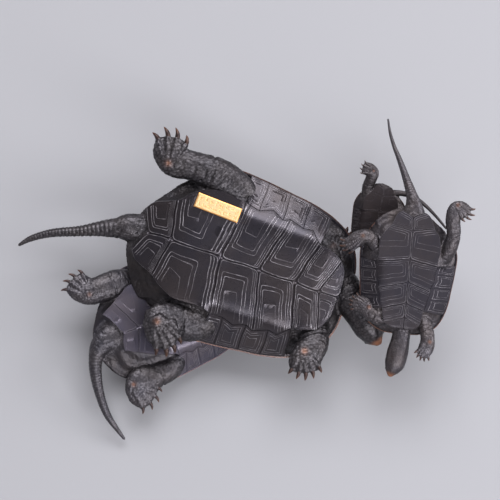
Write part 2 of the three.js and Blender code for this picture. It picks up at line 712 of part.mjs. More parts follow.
    tail: [[-44, -4, 3, 9, 6], [-54, 9, 4, 8, 6], [-59, 25, 4, 6.5, 5.5], [-61, 46, 4, 5.5, 5],
      [-58, 64, 4, 4.6, 4.4], [-52, 80, 4, 4, 3.8], [-40, 101, 4, 3.4, 3.2], [-22, 126, 4, 2.8, 2.6],
      [-9, 142, 4, 2, 2]],
  },
];

// Materials

const bronze = (name, color, roughness) => new THREE.MeshStandardMaterial({
  name, color, roughness, metalness: 0.9,
});
const MATERIALS = {
  large_turtle: bronze('bronze of the large turtle', 0x17161a, 0.34),
  rear_turtle: bronze('bronze of the rear turtle', 0x19181b, 0.42),
  front_turtle: bronze('bronze of the front turtle', 0x1b1919, 0.4),
  small_turtle: bronze('bronze of the small turtle', 0x1c1818, 0.48),
};
const gold = new THREE.MeshStandardMaterial({
  name: 'gold inlay', color: 0xd9a441, roughness: 0.3, metalness: 1,
});

// Assembly

function poseOf({ at, heading, pitch, roll }) {
  const turns = [roll, pitch, heading].map(THREE.MathUtils.degToRad);
  const turn = new THREE.Quaternion().setFromEuler(new THREE.Euler(...turns, 'ZYX'));
  return new THREE.Matrix4().compose(new THREE.Vector3(...at), turn, new THREE.Vector3(1, 1, 1));
}

function inGroup(body, pose, scale) {
  const geometry = geometryOf(body);
  geometry.scale(scale, scale, scale);
  return solid(geometry.applyMatrix4(pose));
}

function plaqueGeometry(margin) {
  const block = new THREE.BoxGeometry(
    PLAQUE.length + 2 * margin,
    PLAQUE.width + 2 * margin,
    PLAQUE.thick + 2 * margin,
  );
  block.rotateZ(THREE.MathUtils.degToRad(PLAQUE.turn));
  const [x, y] = PLAQUE.at;
  return block.translate(x, y, bellyHeight(x, y) + PLAQUE.proud - PLAQUE.thick / 2);
}

const tilt = new THREE.Matrix4().makeRotationX(BELLY_TILT);
const [floorWidth, floorDepth] = FLOOR_BLOCK;
const ground = new THREE.BoxGeometry(floorWidth, floorWidth, floorDepth)
  .translate(0, 0, -floorDepth / 2 - FLOOR_DEPTH)
  .applyMatrix4(tilt.clone().invert());

const group = new THREE.Group();
group.name = 'bronze_turtle_group';
group.rotation.x = BELLY_TILT;
group.position.set(...GROUP_SHIFT, FLOOR_DEPTH);

function addMesh(name, geometry, material, pose) {
  const mesh = new THREE.Mesh(geometry.applyMatrix4(pose.clone().invert()), material);
  mesh.name = name;
  mesh.applyMatrix4(pose);
  group.add(mesh);
}

const taken = [];
for (const turtle of TURTLES) {
  const pose = poseOf(turtle);
  let body = inGroup(turtleBody(turtle), pose, turtle.scale);
  if (turtle.name === 'large_turtle') {
    body = body.subtract(solid(plaqueGeometry(PLAQUE.play).applyMatrix4(pose)));
  }
  for (const neighbour of taken) {
    body = body.subtract(neighbour);
  }
  body = biggest(body.subtract(solid(ground)));
  taken.push(swollen(body));
  addMesh(turtle.name, geometryOf(body), MATERIALS[turtle.name], pose);
}

const largePose = poseOf(TURTLES[0]);
addMesh('signature_plaque', plaqueGeometry(0).applyMatrix4(largePose), gold, largePose);

export default group;
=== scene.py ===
"""Looks of a bronze group of four turtles on their backs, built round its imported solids.

Each turtle is drawn in millimetres in a frame of its own: +X towards the head, +Z out of the belly,
and the origin in the middle of the plane of the shell's rim. All of them are drawn at the size of
the large one, and the smaller ones are scaled when they are set in the group.
"""

import math

import bmesh
import bpy
import numpy as np
from bpy.props import FloatProperty, FloatVectorProperty, PointerProperty
from mathutils import Matrix, Vector, kdtree


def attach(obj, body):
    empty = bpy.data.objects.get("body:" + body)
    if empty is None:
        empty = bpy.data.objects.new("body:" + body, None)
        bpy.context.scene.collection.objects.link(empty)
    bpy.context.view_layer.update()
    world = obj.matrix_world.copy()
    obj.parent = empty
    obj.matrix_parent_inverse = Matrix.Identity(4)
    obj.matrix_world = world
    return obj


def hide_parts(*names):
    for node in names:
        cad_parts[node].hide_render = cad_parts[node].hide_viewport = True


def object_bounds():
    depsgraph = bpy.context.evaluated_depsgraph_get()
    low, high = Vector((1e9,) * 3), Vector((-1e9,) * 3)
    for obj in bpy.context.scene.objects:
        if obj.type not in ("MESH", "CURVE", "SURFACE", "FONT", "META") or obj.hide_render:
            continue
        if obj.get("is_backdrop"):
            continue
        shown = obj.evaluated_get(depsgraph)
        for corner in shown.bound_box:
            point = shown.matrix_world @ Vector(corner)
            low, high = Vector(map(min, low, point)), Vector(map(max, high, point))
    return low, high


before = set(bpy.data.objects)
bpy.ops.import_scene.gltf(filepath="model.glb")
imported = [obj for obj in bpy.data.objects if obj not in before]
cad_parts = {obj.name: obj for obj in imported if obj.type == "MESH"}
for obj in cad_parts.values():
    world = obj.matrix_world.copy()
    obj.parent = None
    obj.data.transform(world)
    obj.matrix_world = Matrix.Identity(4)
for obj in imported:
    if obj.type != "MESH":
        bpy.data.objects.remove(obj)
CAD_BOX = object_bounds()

bl_info = {
    "name": "Bronze turtle group",
    "version": (1, 0, 0),
    "blender": (4, 5, 0),
    "location": "View3D > Sidebar > Turtles",
    "description": "Four cast bronze turtles on their backs, with a gold plaque let into the largest belly",
    "category": "Object",
}

MM = 0.001

# Place of the group: the bellies lean to the front, and the large turtle's origin is above the floor
BELLY_TILT = math.radians(15)
FLOOR_DEPTH = 42.5
GROUP_SHIFT = (3.5, 19.65)

# Lengths are in millimetres at the large turtle's size from here on

# Back: how squarely it leaves the rim, how round it is, and the ridge along it
DOME_POWER = 2.4
DOME_ROUND = 0.92
RIDGE_HEIGHT = 1.3
RIDGE_WIDTH = 3.5

# Belly: nearly flat between two keels, lower at both ends, and sloping to the rim between the legs. The
# pairs say over which stretch that slope sets in or ends.
BELLY_HEIGHT = 15
BELLY_AT_RIM = 1
BELLY_DIP = 0.8
BELLY_CURVE = 0.9
KEEL_HALF_WIDTH = 30
KEEL_SOFTNESS = 4.2
END_DROP = 2.4
END_START = 34
END_REACH = 30
LOBE_SIDE = (38.5, 41.5)
BRIDGE_BACK = (-14, -7)
BRIDGE_FRONT = (39, 48)
# Below its edge the belly goes down in steps, each a share of its outline and a drop, and then to its
# root, which is a share of its length, a share of its width and a height
BELLY_STEPS = ((0.998, 0.7), (0.99, 3.2))
BELLY_ROOT = (0.82, 0.72, -7)

# Rim, its ring of small plates, and the lower face of the rim
RIM_INSET = 0.8
RIM_LIP = 0.9
MARGINALS = 12
MARGINAL_BAND = 0.85
UNDERSIDE_OUTER = 0.985
UNDERSIDE_INNER = 0.8
UNDERSIDE_DROP = 4.0

# How the plates are laid: points along a side, drift of the hand, and rounding of the lines' corners
RIM_PARTS = 8
WOBBLE = 0.32
WELD = 0.004
# Grey share of the line along a belly plate's edge: partly wear, partly painted highlight.
EDGE_RUB_AND_HIGHLIGHT = 0.7
CORNER_SOFTNESS = 3
SHARP_TURN = math.radians(50)

# Rings of a plate, as shares of its reach: the widest seam and line, the least step from one ring to the
# next, the top of the plate and its last ring. A line's profile: places across it, and its height there.
SEAM_LIMIT = 0.06
LINE_LIMIT = 0.03
RING_GAP = 0.002
PLATE_TOP = 0.97
LAST_RING = 0.985
LINE_PROFILE = ((-1, 0), (-0.45, 1), (0.45, 1), (1, 0))

# Half outline of the rim, from the neck to the tail
RIM_HALF = [
    (68, 0), (67, 21), (58.5, 37), (46, 45), (31, 49.5), (16, 51.5), (-6, 54), (-24, 54.5),
    (-38, 50), (-52, 41.5), (-62, 31), (-69, 17), (-72, 0),
]
# Over the right hind leg the rim is drawn in
TUCK_ANGLE = math.radians(152)
TUCK_WIDTH = 0.34
TUCK_SHARE = 0.1

# The gold plaque beside the large turtle's right thigh, and the strokes cut into it, with their drift
# along and across it and their least and greatest half length
PLAQUE_SIZE = (28.5, 9.2, 1.6)
PLAQUE_AT = (-26, 28)
PLAQUE_TURN = math.radians(-2)
PLAQUE_PROUD = 0.5
PLAQUE_STEP = 0.2
PLAQUE_EDGE = 0.35
PLAQUE_SEED = 11
PLAQUE_MARGIN = 2.4
PLAQUE_ROW = 1.9
PLAQUE_CELLS = 8
STROKES = 5
STROKE_DRIFT = (0.9, 1.1)
STROKE_HALF = (0.4, 1.0)
STROKE_WIDTH = 0.16
STROKE_DEPTH = 0.12

# Flesh between belly and back: height, share of the rim, share of the belly, and how they mix
FLESH_LEVELS = ((-7, 0.7, 0.9, 0), (-3, 0.88, 0.9, 0), (0, 0.975, 0.9, 0), (2.6, 0.985, 0.9, 0.08),
                (5.5, 0.97, 0.9, 0.35), (8.5, 0.93, 0.95, 0.65), (11, 0.86, 0.97, 1), (12.6, 0.8, 0.9, 1))
FLESH_SIDES = 120
FLESH_UNDER_BELLY = 1.8
# Beside the tail the flesh swells, and the skin reaches over the first part of the tail
TAIL_SWELL = 0.06
TAIL_SWELL_FROM = math.radians(128)
TAIL_ROOT = 0.36

# Skin: how far from the middle of a limb the body begins, how much higher the scales are on the feet,
# creases, the fold at the knee, loose rolls in the openings of the shell, and the tail
OUTWARD = (0, 0, 1)
HIDDEN_RADIUS = 29
ROUTE_SAMPLES = 90
BODY_BEGINS = (11, 16)
FOOT_SCALES = 0.5
CREASE_SIZE = 5.5
CREASE_DEPTH = 0.2
KNEE_AT = 0.46
KNEE_WIDTH = 0.7
KNEE_DEPTH = 1.0
ROLLS = 34
ROLL_HEIGHT = 0.55
JAW_DEPTH = 0.8
HEEL_WEAR = 0.5
HEEL_SPOT = 1.9
TAIL_RINGS = 190
TAIL_SIDES = 20
TAIL_SCALES = 5
TAIL_PERIOD = (3.0, 1.5)

# Shares of the way along a limb, or along the neck and head, over which its skin changes
SHIN_BEGINS = (0.62, 0.8)
FOOT_BEGINS = (0.66, 0.8)
NECK_FOLDS_END = (0.42, 0.55)
JAW_BEGINS = (0.68, 0.76)
BEAK_BEGINS = (0.93, 0.985)

# Eyes: their share of the way along the head, and how far out and how wide they are
HEAD_SAMPLES = 60
EYE_AT = 0.8
EYE_SHAPE = ((-1.2, 1.7), (0.2, 1.7), (0.9, 1.25))

# Toes: how widely they fan out, how far ahead the middle knuckle is and how much less the outer ones
# are, and half width and depth along a toe. Heel: how far back its pad is, and half width and depth.
TOE_FAN = 0.86
TOE_REACH = 2.4
TOE_CURVE = 3.2
TOE_SHAPE = ((0.7, 0.7), (0.8, 0.85), (1.0, 1.05), (0.72, 0.75))
HEEL_PAD = ((1.05, 0.4, 0.4), (0.7, 0.55, 0.62), (0.35, 0.4, 0.4))

# Claws: their number, spread in degrees, length, radius and sideways hook
CLAW_RINGS = 12
CLAW_SIDES = 10
CLAW_TAPER = ((0, 0.78), (0.3, 0.7), (0.6, 0.54), (0.85, 0.32), (1.0, 0.08))
HIND_CLAWS = {"count": 4, "spread": 46, "length": 5.8, "radius": 2.1, "hook": 0.5}
FOLDED_CLAWS = {"count": 4, "spread": 26, "length": 5.0, "radius": 2.1, "hook": 0.35}
FORE_CLAWS = {"count": 5, "spread": 66, "length": 4.4, "radius": 1.75, "hook": 0.2}

# Finish: edges sharper than this angle stay crisp, and the rim and the claws are rubbed bare
CRISP_ANGLE = math.radians(24)
RIM_WEAR = 0.55
RIM_WORN = (0.99, 0.999)
CLAW_WEAR = 0.1
CLAW_TIP_WEAR = 0.5
RUBBED_ROUGHNESS = 0.34
GOLD_CLOUD = (0.86, 0.59, 0.27, 1.0)
GOLD_DARK = (0.78, 0.4, 0.12, 1.0)

# Studio: half the floor's width, the colour of the sky and of the lamps, and each softbox with its
# setting, place, target and size
FLOOR_REACH = 6.0
FLOOR_GAP = 0.0002
SKY_COLOUR = (1.0, 0.935, 0.985, 1.0)
SKY_FADE = 0.22
LAMP_COLOUR = (0.985, 0.955, 1)
SOFTBOXES = {
    "overhead_softbox": ("key_power", (0.14, 1.25, 2.0), (0, 0, 0), (2.3, 1.5)),
    "side_softbox": ("side_power", (1.5, 0.1, 0.74), (0, 0, 0.03), (0.8, 0.9)),
    "front_softbox": ("front_power", (0.62, -1.0, 1.3), (0, 0, 0.03), (1.6, 0.5)),
}

# Growth lines. Beside the seams: strengths, from the seam inwards. Rings of a belly plate: shares of
# the reach at its back, its middle and its front, and a strength. Other rings: a share and a strength.
OPEN_RINGS = {
    "beside_seams": (1.0, 0.9, 0.8),
    "rings": ((0.36, 0.25, 0.36, 1.0), (0.52, 0.34, 0.46, 1.0), (0.74, 0.62, 0.66, 0.5)),
    "bridge_rings": ((0.2, 0.6), (0.36, 0.6), (0.6, 0.4)), "step": 1.2, "ring_step": 2.4, "inlay": True}
FEW_RINGS = {
    "beside_seams": (0.55,), "rings": ((0.6, 0.55, 0.55, 0.25),),
    "bridge_rings": ((0.2, 0.9), (0.36, 0.9), (0.5, 0.9), (0.66, 0.8)), "step": 1.8, "ring_step": 3.0}
FINE_RINGS = {
    "beside_seams": (0.4, 0.16), "rings": ((0.36, 0.14, 0.4, 0.3), (0.62, 0.24, 0.62, 0.26)),
    "bridge_rings": ((0.25, 0.8), (0.5, 0.7)), "step": 1.6, "ring_step": 3.0}
BACK_RINGS = {
    "rings": ((0.14, 0.8), (0.27, 0.8), (0.4, 0.7), (0.54, 0.5)), "rim_rings": ((0.3, 0.35),), "step": 1.9,
    "ring_step": 3.4}

# The turtles: place, turns in degrees and depth of the back, the points of the belly that differ from
# BELLY_POINTS, with a mark on those of the left half, how finely the skin is fused, the finish, and the
# route of each limb as x, y, z, half width and half thickness
LARGE = {
    "name": "large_turtle", "scale": 1.0, "at": (-4.3, -9, 0), "turns": (-19.2, 0, 0), "depth": 42,
    "seed": 3, "rear_lobe": 1.0, "belly": OPEN_RINGS, "coarse": 1.0, "matt": 0.0, "shine": 1.0,
    "tone": (1.0, 1.0, 1.0), "hide": (0.42, 0.42, 0.42),
    "belly_points": {
        "e2": (-36, 36.4), "e3": (-26, 38.2), "e4": (-16, 37.2), "s2": (-10, 37.2), "e1'": (-44.5, -29.5),
        "e2'": (-36, -32.6), "e3'": (-26, -33.6), "e4'": (-16, -33.2), "s2'": (-10, -34.8)},
    "limbs": [
        ([(-12, 33, 0, 14, 8), (-22, 41, 4, 14, 7.6), (-34, 46.6, 6.6, 11.4, 7), (-50, 47.2, 8.5, 9.2, 6.4),
          (-60, 46.6, 9.5, 10.4, 5.6), (-65, 51, 11, 11, 4.4), (-66, 57, 11.5, 9.6, 2.8)], HIND_CLAWS),
        ([(-8, -33, 0, 11, 8), (-14, -42, 4, 11.5, 7), (-23, -46.5, 8, 11, 6.5), (-32, -46.5, 12, 10, 6),
          (-37.5, -48.5, 16, 10, 5), (-33, -55, 18.5, 10.5, 4), (-28, -60, 18, 8.6, 2.8)], FOLDED_CLAWS),
        ([(46, -18, 0, 11, 7), (54, -25, 5, 10.4, 7), (57, -32, 10, 9.4, 6.5), (55.5, -39, 13, 9.8, 6),
          (55.5, -44, 15, 10.2, 5), (57, -47.5, 16, 9, 3.4)], FORE_CLAWS),
        ([(42, 18, 0, 8, 7), (47, 26, 0, 7.5, 6), (51, 32, -2, 7, 5), (54, 36, -4, 6, 3)], FORE_CLAWS),
    ],
    "head": [(44, 10, -1, 12, 7.5), (58, 8, 0, 12.5, 7.5), (68, 3, 1, 11, 7.5), (78, -4.5, 2, 9.8, 8),
             (86, -11, 3, 9.4, 7.5), (92, -16, 3, 6.5, 5.5), (95.5, -18.4, 3, 2.5, 2.5)],
    "tail": [(-58, 1, 1, 9.5, 6), (-74, -1.6, 3, 9, 6), (-81, -4.2, 3.5, 6.5, 5), (-91, -8.3, 3.2, 4.6, 4),
             (-102, -13.6, 2.6, 3.2, 3), (-119, -21, 1.2, 2.5, 2.3), (-130, -28.5, -0.3, 1.8, 1.7),
             (-135.2, -34.2, -1.6, 0.9, 0.9)],
}
REAR = {
    "name": "rear_turtle", "scale": 0.7, "at": (-51.5, -41.5, -12), "turns": (20, 14, 0), "depth": 30,
    "seed": 5, "rear_lobe": 0.74, "belly": FEW_RINGS, "coarse": 1.15, "matt": 0.04, "shine": 0.8,
    # The rear turtle's shell tone is far lighter and bluer than the others': painted sheen of the light its
    # tilted belly reflects.
    "tone": (1.9, 2.0, 2.3), "hide": (0.68, 0.71, 0.74),
    "belly_points": {
        "m0": (-45, 0), "a0": (-50.5, 13.5), "a1": (-57, 21.5), "s1": (-45, 28.5), "e1": (-34, 34.5),
        "e2": (-27, 37.8), "a0'": (-48, -7), "a1'": (-49.5, -14.6), "s1'": (-38, -21), "e1'": (-28, -26),
        "e2'": (-20, -29.5), "e3'": (-12, -32.5), "e4'": (-6, -34), "s2'": (-3.8, -35.5)},
    "limbs": [
        ([(-12, 30, 0, 13, 8), (-24, 39, 3, 13.5, 8), (-36, 42.5, 5.5, 13.5, 8), (-50, 43.5, 6.5, 12, 7.4),
          (-60, 44, 6, 11.5, 6.5), (-65.5, 50, 5, 12.5, 5.2), (-69, 57, 4.5, 11, 3.4)], HIND_CLAWS),
        ([(-4, -34, 0, 10, 8), (-14, -44, 6, 10, 8), (-30, -46, 8, 11, 7), (-45, -46, 9, 13, 6),
          (-47, -54, 9, 14, 4.6), (-42, -62, 9, 12.5, 3)], HIND_CLAWS),
    ],
    "head": [(46, 0, -1, 8, 7.5), (58, 0, 0, 8, 7.5), (68, 0, 1, 6, 6)],
    "tail": [(-42, 0, 3, 13, 7), (-56, -0.5, 4, 12.5, 7), (-67, -4.5, 3, 9.5, 6.5), (-75, -15, 0.5, 6, 5.5),
             (-79, -29, -2, 5, 4.8), (-81, -46, -4, 4, 3.8), (-80.5, -63.5, -6, 3.2, 3),
             (-77, -77, -8, 2.2, 2), (-73, -89, -10, 1.2, 1.2)],
}
FRONT = {
    "name": "front_turtle", "scale": 0.55, "at": (95.9, -14, 18.6), "turns": (-95.7, 0, -4), "depth": 36,
    "seed": 7, "rear_lobe": 1.0, "belly": FINE_RINGS, "coarse": 1.2, "matt": 0.28, "shine": 1.1,
    "tone": (0.8, 0.8, 0.8), "hide": (0.8, 0.78, 0.76),
    "belly_points": {
        "e1": (-44.5, 29.5), "e2": (-36, 32), "e3": (-26, 32.5), "e4": (-16, 31.5), "s2": (-10, 31.5),
        "z1": (-1, 28.5), "z2": (6.5, 29.5), "z3": (14, 26), "s3": (18.5, 26), "z4": (28, 23),
        "z5": (34, 23), "s4": (41, 20.5), "h1": (49, 18.8), "s5": (56.4, 17.5), "g1": (61.5, 10.5),
        "e1'": (-44.5, -31), "e2'": (-36, -34.8), "e3'": (-26, -36.2), "e4'": (-16, -35.6),
        "s2'": (-10, -36), "z1'": (-1, -33.5), "z2'": (6.5, -34.5), "z3'": (14, -31.5), "s3'": (18.5, -32),
        "z4'": (28, -29), "z5'": (34, -29.5), "s4'": (41, -26), "h1'": (49, -24.5), "s5'": (56.4, -21.5),
        "g1'": (61.5, -12)},
    "limbs": [
        ([(-16, -30, 0, 9, 7), (-27, -38, 5, 8.5, 7), (-36, -50, 12, 8, 6), (-32, -60, 13, 9, 4.5),
          (-24, -69, 11, 8, 3)], HIND_CLAWS),
        ([(-14, 32, 0, 9, 7), (-28, 42, 6, 9, 7), (-46, 46, 12, 8, 6), (-64, 43, 15, 8.5, 6),
          (-75, 45, 16, 8.8, 5), (-76, 51, 17.5, 9, 3.6), (-71.5, 56.5, 18, 8, 2.6)], HIND_CLAWS),
        ([(46, -16, 2, 9, 7), (52, -26, 6, 9, 6), (48, -37, 6, 9, 5.5), (40, -46, 5, 9.5, 4.5),
          (38, -54, 3, 8.5, 2.8)], FORE_CLAWS),
        ([(44, 18, 0, 9, 7), (56, 25, 6, 8.6, 6.5), (69, 28.5, 11, 8, 6), (79, 28, 13, 8.8, 5),
          (88, 24, 14, 8, 2.8)], FORE_CLAWS),
    ],
    "head": [(46, 0, 0, 9.5, 7.5), (60, 0.3, 2, 9.8, 7.5), (74, 0, 2, 10.4, 8), (90, -2, 2, 12, 9),
             (102, -4, 2, 11.4, 8.5), (110, -6.6, 2.5, 7.6, 6), (115, -8, 2.5, 3.2, 3)],
    "tail": [(-54, 0, 2, 15, 6), (-66, 0, 4, 14, 6.5), (-76, -0.6, 4, 9.5, 6), (-88, -4.4, 3, 6, 5),
             (-101, -10, 1.6, 4.5, 4), (-114, -15.8, 0, 3.6, 3.4), (-127, -22, -1.5, 2.8, 2.6),
             (-138, -27.6, -3, 2.2, 2.1), (-153, -33.6, -4.6, 1.6, 1.6), (-168, -37.2, -6, 1, 1)],
}
SMALL = {
    "name": "small_turtle", "scale": 0.3, "at": (79, 19.5, 2.5), "turns": (-102, 0, 0), "depth": 36,
    "seed": 9, "rear_lobe": 1.0, "belly": FEW_RINGS, "coarse": 1.7, "matt": 0.28, "shine": 0.5,
    "tone": (0.62, 0.55, 0.5), "hide": (0.62, 0.56, 0.5), "belly_points": {},
    "limbs": [
        ([(-26, -26, 0, 10, 6), (-44, -32, 1, 11, 7), (-60, -33.5, 5, 12, 8), (-76, -31, 12, 12, 8),
          (-89, -30, 17, 13, 7), (-94, -39, 19, 14, 5.5), (-95, -50, 20, 13, 3.6)], HIND_CLAWS),
        ([(-20, 26, 2, 9, 7), (-22, 38, 3, 9, 7), (-10, 50, 0, 8.5, 6), (8, 58, -4, 9, 4),
          (18, 60, -6, 8, 3)], HIND_CLAWS),
    ],
    "head": [(46, 0, 0, 8, 7.5), (60, 0, 0, 8, 7.5), (74, 0, 0, 9, 8), (84, 0, 0, 5, 5)],
    "tail": [(-44, -4, 3, 9, 6), (-54, 9, 4, 8, 6), (-59, 25, 4, 6.5, 5.5), (-61, 46, 4, 5.5, 5),
             (-58, 64, 4, 4.6, 4.4), (-52, 80, 4, 4, 3.8), (-40, 101, 4, 3.4, 3.2),
             (-22, 126, 4, 2.8, 2.6), (-9, 142, 4, 2, 2)],
}


# Settings that a user would change

class ShellCarving(bpy.types.PropertyGroup):
    """How the plates of the shells are carved, at the large turtle's size"""

    seam_width: FloatProperty(
        name="Seam width", description="Half width of the groove between two plates",
        default=0.26 * MM, min=0.0, unit="LENGTH", precision=5)
    seam_depth: FloatProperty(
        name="Seam depth", description="Depth of the groove between two plates",
        default=0.4 * MM, min=0.0, unit="LENGTH", precision=5)
    line_width: FloatProperty(
        name="Growth line width", description="Half width of a raised growth line",
        default=0.24 * MM, min=0.0, unit="LENGTH", precision=5)
    line_height: FloatProperty(
        name="Growth line height", description="Height of a raised growth line",
        default=0.32 * MM, min=0.0, unit="LENGTH", precision=5)
    swell: FloatProperty(
        name="Plate swell", description="How far the middle of a plate stands above its edge",
        default=0.16 * MM, min=0.0, unit="LENGTH", precision=5)


class SkinCarving(bpy.types.PropertyGroup):
    """How the skin of the legs and heads is carved, at the large turtle's size"""

    grain: FloatProperty(
        name="Skin mesh", description="Size of the cells in which the skin is fused",
        default=0.68 * MM, min=0.2 * MM, unit="LENGTH", precision=5)
    scale_size: FloatProperty(
        name="Scale size", description="Mean distance between two scales of the skin",
        default=1.65 * MM, min=0.5 * MM, unit="LENGTH", precision=5)
    scale_height: FloatProperty(
        name="Scale height", description="How far a scale stands above the furrow round it",
        default=0.22 * MM, min=0.0, unit="LENGTH", precision=5)
    fold_length: FloatProperty(
        name="Fold length", description="Distance between two folds across a leg",
        default=5.2 * MM, min=1 * MM, unit="LENGTH", precision=5)
    fold_depth: FloatProperty(
        name="Fold depth", description="Depth of the folds across a leg",
        default=0.7 * MM, min=0.0, unit="LENGTH", precision=5)


class BronzeFinish(bpy.types.PropertyGroup):
    """Colours of the patina and of what is rubbed bare"""

    patina: FloatVectorProperty(
        name="Patina", description="Near-black patina of the bronze", subtype="COLOR", size=4,
        default=(0.030, 0.028, 0.036, 1.0), min=0.0, max=1.0)
    cloud: FloatVectorProperty(
        name="Clouding", description="Warmer patches in the patina", subtype="COLOR", size=4,
        default=(0.048, 0.040, 0.040, 1.0), min=0.0, max=1.0)
    # Grey of the polish share. On the shells' raised lines it is partly wear and partly painted highlight. On
    # the skin it lightens the scale tops as wear and painted highlight, against painted shade in the creases.
    polish: FloatVectorProperty(
        name="Polished lines", description="Raised lines and edges, rubbed grey", subtype="COLOR", size=4,
        default=(0.42, 0.405, 0.43, 1.0), min=0.0, max=1.0)
    copper: FloatVectorProperty(
        name="Bare bronze", description="Rims, claws and beaks, rubbed down to the bronze", subtype="COLOR",
        size=4, default=(0.36, 0.15, 0.07, 1.0), min=0.0, max=1.0)
    gold: FloatVectorProperty(
        name="Gold", description="Gold of the inlaid plaque", subtype="COLOR", size=4,
        default=(0.93, 0.70, 0.38, 1.0), min=0.0, max=1.0)


class StudioSettings(bpy.types.PropertyGroup):
    """Floor, lights and camera"""

    floor: FloatVectorProperty(
        name="Floor", description="Pale lilac-grey paper", subtype="COLOR", size=4,
        default=(0.32, 0.33, 0.342, 1.0), min=0.0, max=1.0)
    distance: FloatProperty(
        name="Camera distance", description="From the camera to the middle of the picture",
        default=1.3, min=0.1, unit="LENGTH")
    frame_width: FloatProperty(
        name="Frame width", description="Width of the picture at the group",
        default=0.31, min=0.01, unit="LENGTH")
    key_power: FloatProperty(
        name="Overhead light", description="Power of the overhead softbox in watts", default=66.0, min=0.0)
    side_power: FloatProperty(
        name="Side light", description="Power of the softbox at the right in watts", default=16.0, min=0.0)
    front_power: FloatProperty(
        name="Front light", description="Power of the low softbox in front in watts", default=20.0, min=0.0)
    sky: FloatProperty(
        name="Surroundings", description="Brightness of the pale walls", default=0.9, min=0.0)


# Curves

def spline(points, shares, closed=False):
    """Points on a centripetal Catmull-Rom curve, at shares from 0 to 1 of its spans."""
    points = np.asarray(points, float)
    if closed:
        knots = np.concatenate([points[-1:], points, points[:2]])
        spans = len(points)
    else:
        before = 2 * points[0] - points[1]
        after = 2 * points[-1] - points[-2]
        knots = np.concatenate([[before], points, [after]])
        spans = len(points) - 1
    way = np.clip(np.asarray(shares, float) * spans, 0, spans - 1e-9)
    span = way.astype(int)
    part = (way - span)[:, None]
    p0, p1, p2, p3 = (knots[span + k] for k in range(4))
    d0, d1, d2 = (np.linalg.norm(b - a, axis=1, keepdims=True) ** 0.5
                  for a, b in ((p0, p1), (p1, p2), (p2, p3)))
    d1 = np.where(d1 < 1e-4, 1.0, d1)
    d0 = np.where(d0 < 1e-4, d1, d0)
    d2 = np.where(d2 < 1e-4, d1, d2)
    leave = ((p1 - p0) / d0 - (p2 - p0) / (d0 + d1) + (p2 - p1) / d1) * d1
    reach = ((p2 - p1) / d1 - (p3 - p1) / (d1 + d2) + (p3 - p2) / d2) * d1
    return (p1 + leave * part + (3 * (p2 - p1) - 2 * leave - reach) * part ** 2
            + (2 * (p1 - p2) + leave + reach) * part ** 3)


def smoothstep(values, low, high):
    share = np.clip((np.asarray(values, float) - low) / (high - low), 0, 1)
    return share * share * (3 - 2 * share)


def rim_table():
    """Angle and radius of the shell's rim, all the way round."""
    other_half = [(x, -y) for x, y in RIM_HALF[-2:0:-1]]
    x, y = spline(RIM_HALF + other_half, np.linspace(0, 1, 721), closed=True).T
    angles = np.arctan2(y, x)
    tuck = TUCK_SHARE * np.exp(-(((angles - TUCK_ANGLE) / TUCK_WIDTH) ** 2))
    radii = np.hypot(x, y) * (1 - tuck)
    order = np.argsort(angles)
    return angles[order], radii[order]


RIM_ANGLES, RIM_RADII = rim_table()


def rim_radius(angles):
    return np.interp(angles, RIM_ANGLES, RIM_RADII, period=2 * math.pi)


def rim_point(angle, share=1.0):
    radius = rim_radius(angle) * share
    return radius * math.cos(angle), radius * math.sin(angle)


def rim_share(x, y):
    return np.hypot(x, y) / rim_radius(np.arctan2(y, x))


def rim_half_width(x):
    """Half width of the rim at a place along the shell."""
    upper = RIM_ANGLES >= 0
    along = RIM_RADII[upper] * np.cos(RIM_ANGLES[upper])
    across = RIM_RADII[upper] * np.sin(RIM_ANGLES[upper])
    return np.interp(x, along[::-1], across[::-1])


def belly_height(x, y):
    """Height of the belly: nearly flat, and sloping down to the rim between the legs."""
    across = np.abs(y)
    rim = rim_half_width(x) - RIM_INSET
    between = smoothstep(x, *BRIDGE_BACK) * (1 - smoothstep(x, *BRIDGE_FRONT))
    along = np.maximum(between, smoothstep(across, *LOBE_SIDE))
    past_keel = across - KEEL_HALF_WIDTH
    rounded = (past_keel + np.sqrt(past_keel ** 2 + KEEL_SOFTNESS ** 2)) / 2
    down = np.clip(rounded / (rim - KEEL_HALF_WIDTH), 0, 1)
    dip = np.maximum(BELLY_DIP * (1 - (across / KEEL_HALF_WIDTH) ** 2), 0)
    ends = END_DROP * (np.maximum(np.abs(x) - END_START, 0) / END_REACH) ** 2
    return BELLY_HEIGHT - dip - ends - along * (BELLY_HEIGHT - BELLY_AT_RIM) * down ** BELLY_CURVE


def dome_height(depth):
    """The height function of a back that is so many millimetres deep."""
    def height(x, y):
        inside = np.maximum(0, 1 - rim_share(x, y) ** DOME_POWER)
        ridge = RIDGE_HEIGHT * np.exp(-((y / RIDGE_WIDTH) ** 2)) * inside
        return -depth * inside ** DOME_ROUND - ridge
    return height


def underside_height(x, y):
    """The lower face of the rim, which slopes inwards to the flesh."""
    outwards = (rim_share(x, y) - UNDERSIDE_INNER) / (UNDERSIDE_OUTER - UNDERSIDE_INNER)
    return RIM_LIP - UNDERSIDE_DROP * (1 - outwards)


# Plates: named points, and the plates between them, each with the focus of its growth lines

